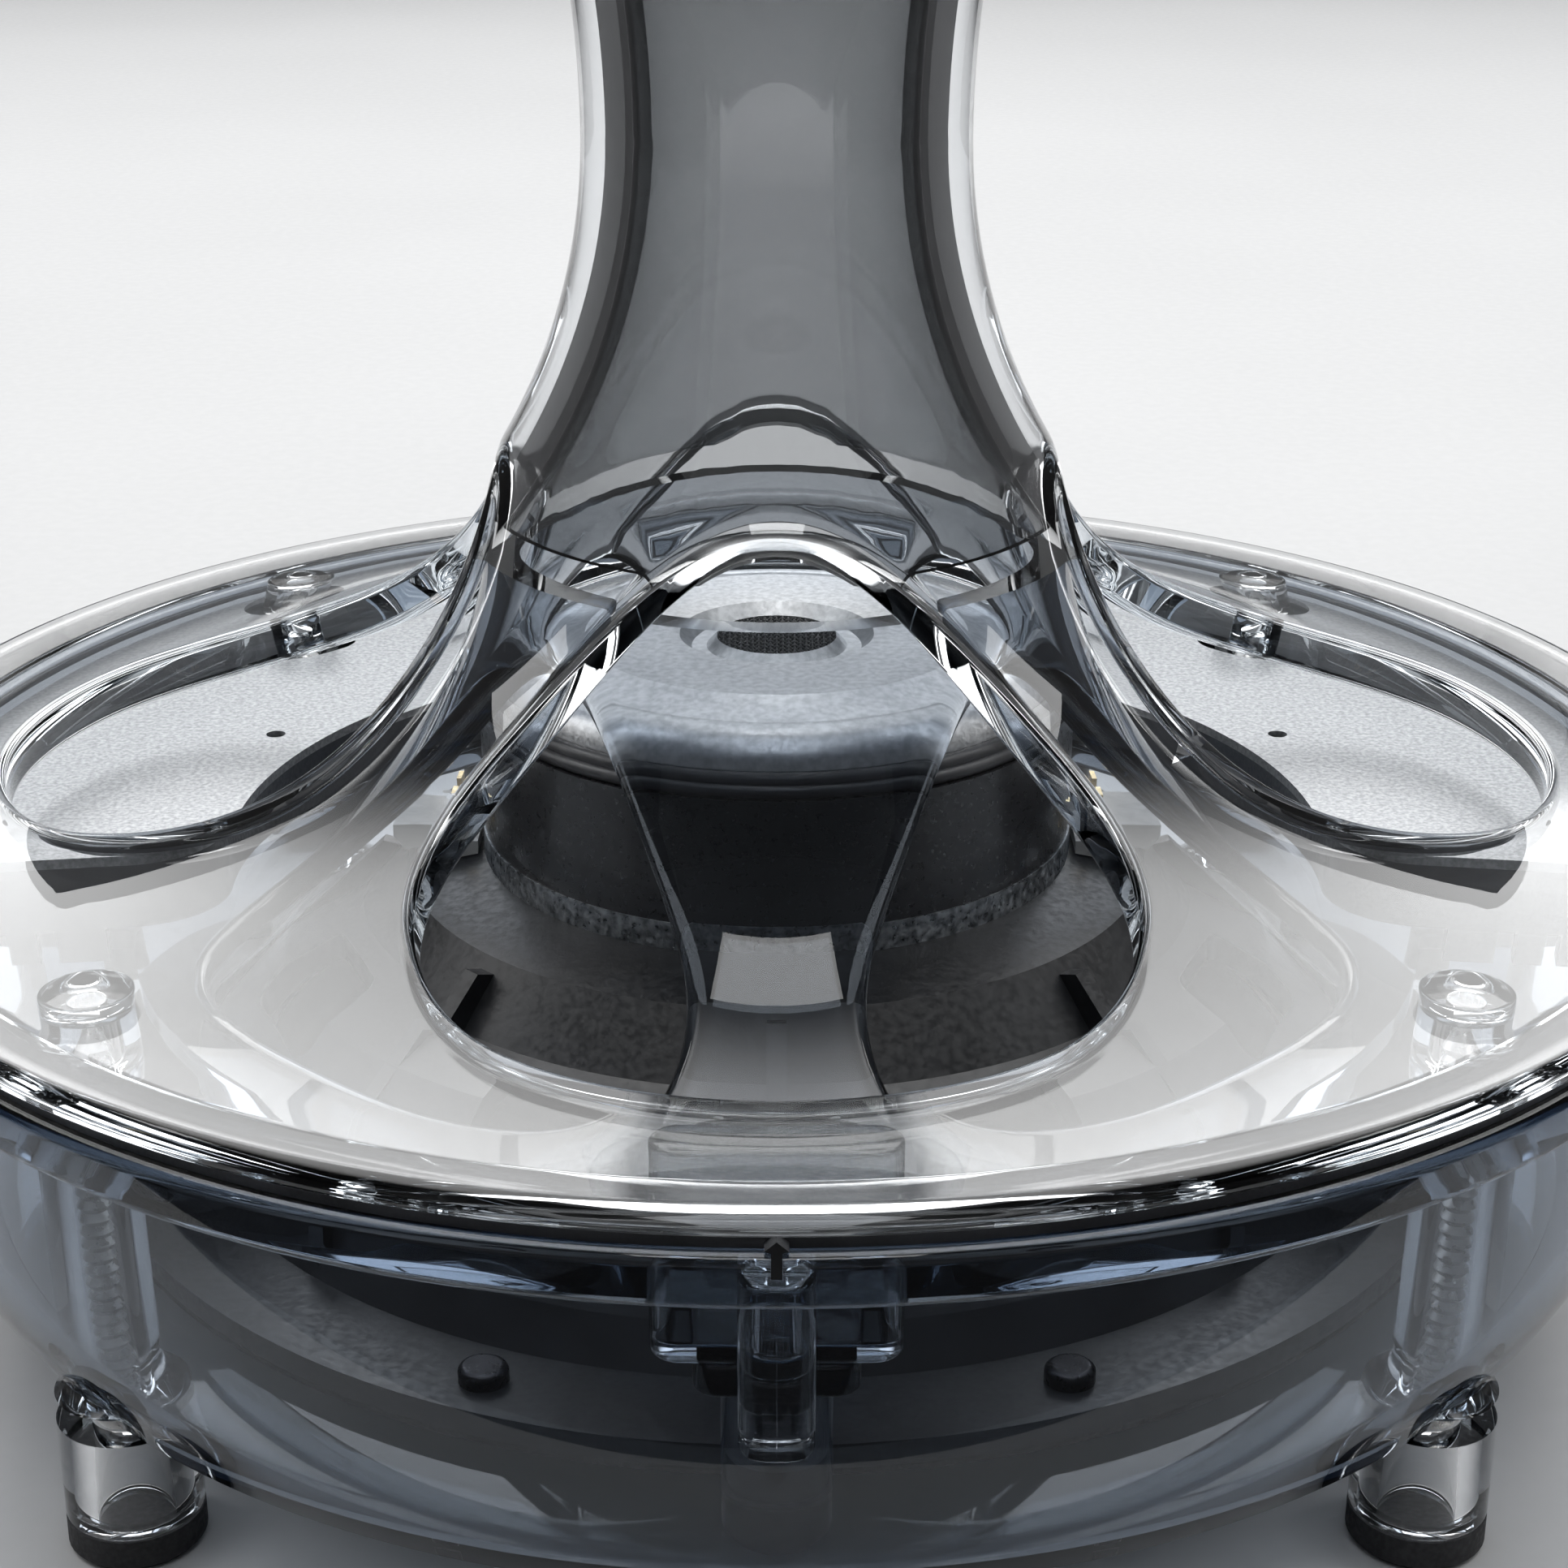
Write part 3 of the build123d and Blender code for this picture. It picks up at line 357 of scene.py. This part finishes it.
def cut_through(flare, wall, outline, lean):
    """Inner plan outline and the unit directions of a cut that leans with the wall's normal."""
    centre_radius, centre_height, across, drop = flare
    radius = np.hypot(outline[:, 0], outline[:, 1])
    angle = np.arccos((centre_radius - radius) / across)
    height = centre_height - drop * np.sin(angle)
    slope = lean * drop / (across * np.tan(angle))
    low, high = np.zeros(len(radius)), np.full(len(radius), 4 * wall)
    for _ in range(40):
        down = (low + high) / 2
        inside = np.arccos(np.clip((centre_radius - radius + slope * down) / (across + wall), -1, 1))
        above = height - down > centre_height - (drop + wall) * np.sin(inside)
        low, high = np.where(above, down, low), np.where(above, high, down)
    share = (radius - slope * low) / radius
    out = outline / radius[:, None] * slope[:, None]
    direction = np.column_stack([out, np.ones(len(radius))])
    return outline * share[:, None], direction / np.linalg.norm(direction, axis=1)[:, None]


def windowed_flare(flare, wall, top, foot, outline, turns, fillet, lean=0.0,
                   across_steps=48, down_steps=44, rings=22, edge_steps=6):
    """A flare of even wall with an opening in each quarter.

    flare is (centre radius, centre height, across, drop) of its outside, top and foot are the
    (outside, inside) angles where it starts and ends, and outline is an opening's plan on the
    X axis. The cut is upright at lean 0, and square to the wall at lean 1. Returns vertices and
    faces; the two ends are open, and have 4 * across_steps columns.
    """
    centre_radius, centre_height, across, drop = flare
    inner_outline, cut_directions = cut_through(flare, wall, outline, lean)
    outlines = (outline, inner_outline)
    edge_turn = math.pi / 4
    u = np.linspace(-1, 1, across_steps + 1)
    v = np.linspace(-1, 1, down_steps + 1)
    border = ([(x, -1.0) for x in u[:-1]] + [(1.0, y) for y in v[:-1]]
              + [(x, 1.0) for x in u[:0:-1]] + [(-1.0, y) for y in v[:0:-1]])
    border = np.array(border)
    count = len(border)
    blocks = []
    for side, offset in ((0, 0.0), (1, wall)):
        a, b = across + offset, drop + offset
        t0, t1 = top[side], foot[side]
        opening = outlines[side]
        normal = outward(opening)

        def angle_of(radius):
            return np.arccos(np.clip((centre_radius - radius) / a, -1, 1))

        def height_of(radius):
            return centre_height - b * np.sin(angle_of(radius))

        def grid_of(points):
            radius = np.hypot(points[:, 0], points[:, 1])
            turn = np.arctan2(points[:, 1], points[:, 0])
            return np.stack([turn / edge_turn, 2 * (angle_of(radius) - t0) / (t1 - t0) - 1], 1)

        hole = grid_of(opening)
        middle = np.array([0.0, (hole[:, 1].min() + hole[:, 1].max()) / 2])
        directions = np.arctan2(hole[:, 1] - middle[1], hole[:, 0])
        order = np.argsort(directions)
        wanted = np.arctan2(border[:, 1] - middle[1], border[:, 0])
        places = np.interp(wanted, directions[order], np.arange(len(order)), period=TAU)
        lower = np.floor(places).astype(int) % len(order)
        upper = (lower + 1) % len(order)
        share = (places - np.floor(places))[:, None]
        edge = opening[order][lower] * (1 - share) + opening[order][upper] * share
        away = normal[order][lower] * (1 - share) + normal[order][upper] * share
        away /= np.linalg.norm(away, axis=1)[:, None]
        lead = cut_directions[order][lower] * (1 - share) + cut_directions[order][upper] * share
        lead *= 1 if side == 0 else -1
        rows = []
        for step in range(edge_steps + 1):                      # rounded edge of the cut
            phi = math.pi / 2 * (1 - step / edge_steps)
            plan = edge + away * fillet * (1 - math.sin(phi))
            height = height_of(np.hypot(plan[:, 0], plan[:, 1]))
            rows.append(np.column_stack([plan, height]) - lead * fillet * (1 - math.cos(phi)))
        start = grid_of(edge + away * fillet)
        for ring in range(1, rings + 1):
            s = (ring / rings) ** 1.25
            place = start * (1 - s) + border * s
            t = (place[:, 1] + 1) / 2 * (t1 - t0) + t0
            radius = centre_radius - a * np.cos(t)
            turn = place[:, 0] * edge_turn
            rows.append(np.column_stack([radius * np.cos(turn), radius * np.sin(turn),
                                         centre_height - b * np.sin(t)]))
        blocks.append(rows)
    rows = blocks[1][::-1] + blocks[0]
    one = np.vstack(rows)
    faces = grid(count, len(rows), 0)
    parts = []
    for turn in turns:
        c, s = math.cos(turn), math.sin(turn)
        spin = np.array([[c, s, 0], [-s, c, 0], [0, 0, 1]])
        parts.append((one @ spin, faces))
    return joined(parts)


def prism(outline, bottom, top, edge=0.5, steps=4):
    """Upright block of a plan outline, with its top and bottom edges rounded."""
    outline = np.array(outline, float)
    normal = outward(outline)
    levels = [(edge * (1 - math.sin(p)), bottom + edge * (1 - math.cos(p)))
              for p in np.linspace(0, math.pi / 2, steps + 1)]
    levels += [(inset, top + bottom - height) for inset, height in reversed(levels)]
    vertices = []
    for inset, height in levels:
        vertices += [(*point, height) for point in outline - normal * inset]
    count = len(outline)
    faces = grid(count, len(levels), 0)
    faces.append(tuple(range(count - 1, -1, -1)))
    faces.append(tuple(range(len(vertices) - count, len(vertices))))
    return vertices, faces


def rounded_box(width, depth, radius, centre=(0, 0), turn=0.0):
    """Plan outline of a rounded rectangle."""
    w, d = width / 2, depth / 2
    points = round_corners([(-w, -d), (w, -d), (w, d), (-w, d)], radius, 8)
    c, s = math.cos(turn), math.sin(turn)
    return [(centre[0] + c * x - s * y, centre[1] + s * x + c * y) for x, y in points]


def placed(radius, turn):
    """Plan point at a radius and a turn round the axis."""
    return (radius * math.cos(turn), radius * math.sin(turn))


def smooth(share):
    """Soft step between 0 and 1."""
    return share * share * (3 - 2 * share)


# ---------------------------------------------------------------- clear mouldings
ARCH = smooth_outline([(34, 0), (36, 16), (43.5, 28), (53, 35.5), (62, 37.5), (71, 36),
                       (84, 28.5), (92, 15), (94.5, 0)])
WINDOW = smooth_outline([(36.2, 0), (39.5, 20), (43.5, 29.5), (54, 34.5), (62, 33), (70, 22),
                         (73, 0)])
AROUND = 4 * 48                                   # columns of a windowed flare
FLARE = (105.0, 76.0, 82.5, 76.0)                 # centre radius, centre height, across, drop
WALL = 6.0
THROAT = 76.0
JOINT = 96.0                                      # height where the bell is bonded on
BELL_CENTRE = 50.0
BELL_ACROSS = 27.5
BELL_RISE = 60.0
MOUTH = THROAT + BELL_RISE
MOUTH_EDGE = 3.0                                  # half thickness of the bell's rim
LIP_RADIUS = 113.2                                # where the rim's rounded edge starts
LIP_THICKNESS = 3.2


def neck_profile(offset, low, high, steps):
    """Neck above the throat, from one height to another."""
    rise = BELL_RISE + offset
    across = BELL_ACROSS + offset
    angles = np.linspace(math.asin((low - THROAT) / rise), math.asin((high - THROAT) / rise), steps)
    return [(BELL_CENTRE - across * math.cos(a), THROAT + rise * math.sin(a)) for a in angles]


def spun(profile):
    """Open strip round the axis, in step with the columns of windowed_flare."""
    vertices = []
    for radius, height in profile:
        for column in range(AROUND):
            turn = -math.pi / 4 + column * TAU / AROUND
            vertices.append((radius * math.cos(turn), radius * math.sin(turn), height))
    return vertices, grid(AROUND, len(profile), 0)


def trumpet():
    """Skirt with its four arches, neck up to the joint, and rim lip."""
    skirt_end = math.pi / 2
    skirt = windowed_flare(FLARE, WALL, (0, 0), (skirt_end, skirt_end), ARCH, QUARTER_TURNS, 1.3, 0.6)
    neck = neck_profile(0, THROAT, JOINT, 14) + neck_profile(WALL, THROAT, JOINT, 14)[::-1]
    inner = FLARE[0]
    lip = [(inner, 0), (LIP_RADIUS, 0)]
    lip += arc((LIP_RADIUS, 0), (115, -LIP_THICKNESS / 2), (LIP_RADIUS, -LIP_THICKNESS), 16)
    lip += round_corners([(LIP_RADIUS, -LIP_THICKNESS), (107, -LIP_THICKNESS), (107, -WALL),
                          (inner, -WALL)], 0.5, 4, False)
    return joined([skirt, spun(neck), spun(lip)])


piece("clear_trumpet", *trumpet(), "clear_body", "root", 40, "trumpet_shell")

mouth_edge = arc((BELL_CENTRE, MOUTH), (BELL_CENTRE + MOUTH_EDGE, MOUTH + MOUTH_EDGE),
                 (BELL_CENTRE, MOUTH + 2 * MOUTH_EDGE), 16)
bell = neck_profile(0, JOINT, MOUTH, 30) + mouth_edge \
    + neck_profile(WALL, JOINT, MOUTH + 2 * MOUTH_EDGE, 30)[::-1]
piece("clear_bell_mouth", *lathe(bell), "clear_bell", "root", 40, "port_bell")


CAGE = (92.0, 44.0, 60.0, 70.0)                   # centre radius, centre height, across, drop
CAGE_WALL = 3.5
CAGE_TOP = 26.0                                   # height of its upper edge
CAGE_FOOT = 80.0                                  # radius of its lower edge


def cage_flare():
    """Flare with four windows, turned so that its bars stand at the quarters."""
    centre_radius, centre_height, across, drop = CAGE
    lining = (centre_radius, centre_height, across + CAGE_WALL, drop + CAGE_WALL)
    down = centre_height - CAGE_TOP
    inwards = centre_radius - CAGE_FOOT
    top = (math.asin(down / drop), math.asin(down / lining[3]))
    foot = (math.acos(inwards / across), math.acos(inwards / lining[2]))
    body = windowed_flare(CAGE, CAGE_WALL, top, foot, WINDOW, QUARTER_TURNS, 1.65, 0.3)
    ends = [spun([ellipse(*CAGE, [angles[0]])[0], ellipse(*lining, [angles[1]])[0]])
            for angles in (top, foot)]
    vertices, faces = joined([body, *ends])
    c = math.sqrt(0.5)
    spin = np.array([[c, c, 0], [-c, c, 0], [0, 0, 1]])
    return (np.array(vertices) @ spin).tolist(), faces


def cage_feet():
    """Lugs and posts under the cage, with an upright block on the front and rear lugs."""
    parts = []
    for turn in QUARTER_TURNS:
        parts.append(prism(rounded_box(20.5, 16, 2.5, placed(89.25, turn), turn), -28.2, -24.6, 0.5))
        parts.append(lathe([(0.01, -46.8), (5.2, -46.8), (5.5, -46.5), (5.5, -28.2), (0.01, -28.2)],
                           40, placed(92.5, turn)))
    for turn in (-math.pi / 2, math.pi / 2):
        parts.append(prism(rounded_box(6.4, 24, 3, placed(96.2, turn), turn), -24.6, -6.4, 0.6))
    return joined(parts)


piece("smoked_cage", *cage_flare(), "clear_cage", "root", 40, "inner_cage")
piece("cage_feet", *cage_feet(), "clear_cage")


def bowl_profile():
    """Flange, outside, floor and inside of the base."""
    profile = [(107.3, -10.6), (107.3, -4.8), (113.2, -4.8)]
    profile += arc((113.2, -4.8), (114.2, -5.2), (114.6, -6.2), 6)
    profile += arc((114.6, -9.2), (114.2, -10.2), (113.2, -10.6), 6)
    profile += arc((111.5, -10.6), (109.4, -33), (101.5, -50), 48)
    profile += [(70, -50), (70, -46.8)]
    profile += arc((99, -46.8), (105.8, -32), (107.3, -10.6), 48)[:-1]
    return profile


piece("clear_bowl", *lathe(bowl_profile(), 240), "clear_base", "root", 40, "base_bowl")


def bowl_bosses():
    """Case bosses with their flared roots, the key lugs and the hollow feet."""
    parts = []
    tube = [(2.2, -46.7), (7.4, -46.7)] + arc((7.4, -46.7), (5.6, -45.2), (4.9, -41), 10) \
        + round_corners([(4.9, -41), (4.9, -12), (2.2, -12), (2.2, -46.7)], [0, 0.6, 0.4, 0], 4, False)[1:]
    foot = round_corners([(3.8, -62), (7.5, -62), (7.5, -50), (2.2, -50), (2.2, -51), (3.8, -51)],
                         [0.4, 0.5, 0, 0, 0, 0], 4)
    for turn in BOSS_TURNS:
        parts.append(lathe(tube, 48, placed(BOSS_PLACE, turn)))
        parts.append(lathe(foot, 48, placed(BOSS_PLACE, turn)))
    for turn in (-math.pi / 2, math.pi / 2):
        lug = round_corners([(0.01, -30), (3.6, -30), (3.6, -10.6), (0.01, -10.6)], [0, 0.5, 0.8, 0], 4)
        parts.append(lathe(lug, 40, placed(104, turn)))
    return joined(parts)


piece("bowl_bosses", *bowl_bosses(), "clear_body")

skirt_boss = round_corners([(0.01, -0.9), (4.9, -0.9), (4.9, -12), (1.95, -12), (1.95, -5.5), (0.01, -5.5)],
                           [0, 0.5, 0.5, 0.3, 0, 0], 4)
piece("skirt_bosses", *joined([lathe(skirt_boss, 64, placed(BOSS_PLACE, turn)) for turn in BOSS_TURNS]),
      "clear_body")


# ---------------------------------------------------------------- soft discs of the driver
def between(obj):
    """Bakes the piece's placement into its mesh."""
    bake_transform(obj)


def thick(line, wall):
    """Closed profile of a line of (radius, height) given an even wall below it."""
    line = np.array(line, float)
    tangent = np.gradient(line, axis=0)
    normal = np.stack([-tangent[:, 1], tangent[:, 0]], 1)
    normal /= np.linalg.norm(normal, axis=1)[:, None]
    return [tuple(p) for p in line] + [tuple(p) for p in (line - normal * wall)[::-1]]


roll = [(54.5, -45.0), (56, -45.0)] + arc((58.0, -45.0), (62, -49.3), (66.0, -45.0), 28) \
    + [(68, -45.0), (71, -45.0), (74.2, -45.0)]
rubber_surround = piece("rubber_surround", *lathe(thick(roll, 0.7), 160), "surround_rubber",
                        None, 60, "surround")
between(rubber_surround)

waves = [(12.8, -16.5), (14.0, -16.5)]
waves += [(r, -16.9 + 0.4 * math.cos((r - 15) / 21 * 5 * TAU)) for r in np.linspace(15, 36, 101)]
waves += [(37.5, -16.5), (43, -16.5)]
corrugated_spider = piece("corrugated_spider", *lathe(thick(waves, 0.6), 160), "spider_cloth",
                          None, 60, "spider")
between(corrugated_spider)


# ---------------------------------------------------------------- woven dust screen
# The edge ring is not level with the wires: it lies lower, inside the back plate.
EDGE_RING = [(6.9, 11.05), (7.28, 11.05), (7.28, 11.7), (6.9, 11.7)]


def weave(middle, radius=7.25, pitch=0.72, wire=0.17, sides=6):
    """Plain-woven wire screen clipped to a circle."""
    parts = []
    count = int(radius / pitch)
    for way in (0, 1):
        for index in range(-count, count + 1):
            fixed = index * pitch
            reach = math.sqrt(max(0.0, radius ** 2 - fixed ** 2))
            if reach < pitch:
                continue
            samples = np.linspace(-reach, reach, max(6, int(reach / pitch * 8)))
            vertices = []
            for s in samples:
                lift = wire * math.cos(math.pi * (s / pitch + index + way))
                for k in range(sides):
                    a = TAU * k / sides
                    x, y, z = s, fixed + wire * math.cos(a), middle + lift + wire * math.sin(a)
                    vertices.append((x, y, z) if way == 0 else (y, x, z))
            faces = grid(sides, len(samples), 0)
            faces += [tuple(range(sides)), tuple(range(len(vertices) - sides, len(vertices)))]
            parts.append((vertices, faces))
    parts.append(lathe(EDGE_RING, 64))
    return joined(parts)


mesh_low, mesh_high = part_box("vent_mesh")
mesh_middle = ((mesh_low.z + mesh_high.z) / 2 - RIM) / MM
piece("woven_vent_screen", *weave(mesh_middle), "vent_screen", "root", 60, "vent_mesh")


# ---------------------------------------------------------------- carried-over CAD nodes
BEVELS = {"basket": 0.5, "top_plate": 0.4, "magnet_sleeve": 0.5, "left_cover_plate": 0.3,
          "right_cover_plate": 0.3, "left_housing": 0.5, "right_housing": 0.5,
          "terminal_strips": 0.3, "left_board_parts": 0.3, "right_board_parts": 0.3}
for node, obj in frame["nodes"].items():
    material = MATERIALS[SLOT_OF[node]]
    for slot in obj.material_slots:
        slot.material = material
    if not obj.material_slots:
        obj.data.materials.append(material)
    if node in BEVELS:
        edge = obj.modifiers.new("edge", "BEVEL")
        edge.width = BEVELS[node] * MM
        edge.segments = 3
        edge.limit_method = "ANGLE"
        edge.angle_limit = math.radians(50)
        edge.harden_normals = False


# ---------------------------------------------------------------- camera, light and floor
LENS_DOWN = 21.37                                 # degrees below the horizontal
AXIS_SHIFT = 0.00465838                           # share of the frame that the axis lies off centre
camera = bpy.data.objects.new("camera", bpy.data.cameras.new("camera"))
bpy.context.scene.collection.objects.link(camera)
camera.data.sensor_width = 36.0
camera.data.lens = 65.2
camera.data.clip_start = 0.01
camera.data.clip_end = 50.0
camera.location = (0.0, -0.3306, RIM + 0.1242)
camera.rotation_euler = (math.radians(90 - LENS_DOWN), 0.0, 0.0)
camera.data.shift_x = AXIS_SHIFT
bpy.context.scene.camera = camera


def softbox(name, place, look, width, height, power):
    """Rectangular lamp at a place, facing another."""
    data = bpy.data.lights.new(name, "AREA")
    data.shape = "RECTANGLE"
    data.size, data.size_y = width, height
    data.energy = power
    lamp = bpy.data.objects.new(name, data)
    lamp.location = place
    lamp.rotation_euler = (Vector(look) - Vector(place)).to_track_quat("-Z", "Y").to_euler()
    bpy.context.scene.collection.objects.link(lamp)


softbox("front_top", (0.0, -1.0, 1.7), (0, 0, 0.0), 0.8, 0.4, 4)


def light_tent(reach=1.9, half_width=1.5, low=17.0, high=118.0, strength=3.6):
    """Lit cloth that arches from behind the part to above it, brightest along its middle."""
    columns = np.linspace(-1, 1, 41)
    climbs = np.linspace(0, 1, 61)
    vertices, glow = [], []
    for climb in climbs:
        angle = math.radians(low + (high - low) * climb)
        for across in columns:
            vertices.append((across * half_width, reach * math.cos(angle),
                             0.1 + reach * math.sin(angle)))
            ends = min(1.0, climb / 0.06, (1 - climb) / 0.25)
            sides = min(1.0, (1 - abs(across)) / 0.45)
            glow.append(smooth(ends) * smooth(sides))
    mesh = bpy.data.meshes.new("light_tent")
    mesh.from_pydata(vertices, [], grid(len(columns), len(climbs), 0, wrap=False))
    mesh.attributes.new("glow", "FLOAT", "POINT").data.foreach_set("value", np.array(glow, np.float32))
    material = bpy.data.materials.new("light_cloth")
    material.use_nodes = True
    tree = material.node_tree
    tree.nodes.clear()
    output = tree.nodes.new("ShaderNodeOutputMaterial")
    lit = tree.nodes.new("ShaderNodeEmission")
    amount = tree.nodes.new("ShaderNodeAttribute")
    amount.attribute_name = "glow"
    scale = tree.nodes.new("ShaderNodeMath")
    scale.operation = "MULTIPLY"
    scale.inputs[1].default_value = strength
    tree.links.new(amount.outputs["Fac"], scale.inputs[0])
    tree.links.new(scale.outputs[0], lit.inputs["Strength"])
    tree.links.new(lit.outputs[0], output.inputs["Surface"])
    mesh.materials.append(material)
    tent = bpy.data.objects.new("light_tent", mesh)
    tent.visible_camera = False
    bpy.context.scene.collection.objects.link(tent)


light_tent()
softbox("left_strip", (-1.3, 0.2, 0.95), (0, 0, 0.1), 0.4, 1.1, 7)
softbox("right_strip", (1.3, 0.2, 0.95), (0, 0, 0.1), 0.4, 1.1, 7)


def dark_card(name, corners):
    """Black card near the part that only reflections and refractions see, for dark edges."""
    mesh = bpy.data.meshes.new(name)
    mesh.from_pydata(corners, [], [(0, 1, 2, 3)])
    mesh.materials.append(MATERIALS["foot_rubber"])
    card = bpy.data.objects.new(name, mesh)
    card.visible_camera = False
    card.visible_shadow = False
    card.visible_diffuse = False
    bpy.context.scene.collection.objects.link(card)


CARD_PLACE = 0.42
for name, x in (("left_card", -CARD_PLACE), ("right_card", CARD_PLACE)):
    dark_card(name, [(x, -0.5, 0.002), (x, 0.75, 0.002), (x, 0.75, 0.5), (x, -0.5, 0.5)])
dark_card("front_card", [(-CARD_PLACE, -0.6, 0.003), (CARD_PLACE, -0.6, 0.003),
                         (CARD_PLACE, -0.13, 0.003), (-CARD_PLACE, -0.13, 0.003)])

world = bpy.data.worlds.new("world")
world.use_nodes = True
world.node_tree.nodes["Background"].inputs[0].default_value = (0.9, 0.94, 1.0, 1)
world.node_tree.nodes["Background"].inputs[1].default_value = 0.12
bpy.context.scene.world = world


def sweep():
    """Floor that curves up into a backdrop on all sides, far away."""
    profile = [(0.001, 0.0), (0.4, 0.0), (1.0, 0.0), (2.6, 0.0), (3.2, 0.04), (3.7, 0.22),
               (4.0, 0.6), (4.1, 1.2), (4.1, 3.5)]
    vertices, faces = lathe(profile, 96, closed=False)
    mesh = bpy.data.meshes.new("floor")
    mesh.from_pydata(vertices, [], faces)
    mesh.shade_smooth()
    mesh.materials.append(opaque("floor_paper", (0.425, 0.428, 0.432), (0.445, 0.448, 0.452),
                                 (0.6, 0.75), 300, 2e-5, 0.0, 3.0))
    floor = bpy.data.objects.new("floor", mesh)
    bpy.context.scene.collection.objects.link(floor)


sweep()

scene = bpy.context.scene
scene.view_settings.view_transform = "Standard"
scene.view_settings.look = "None"
scene.cycles.max_bounces = 24
scene.cycles.transmission_bounces = 20
scene.cycles.glossy_bounces = 8
scene.cycles.transparent_max_bounces = 32
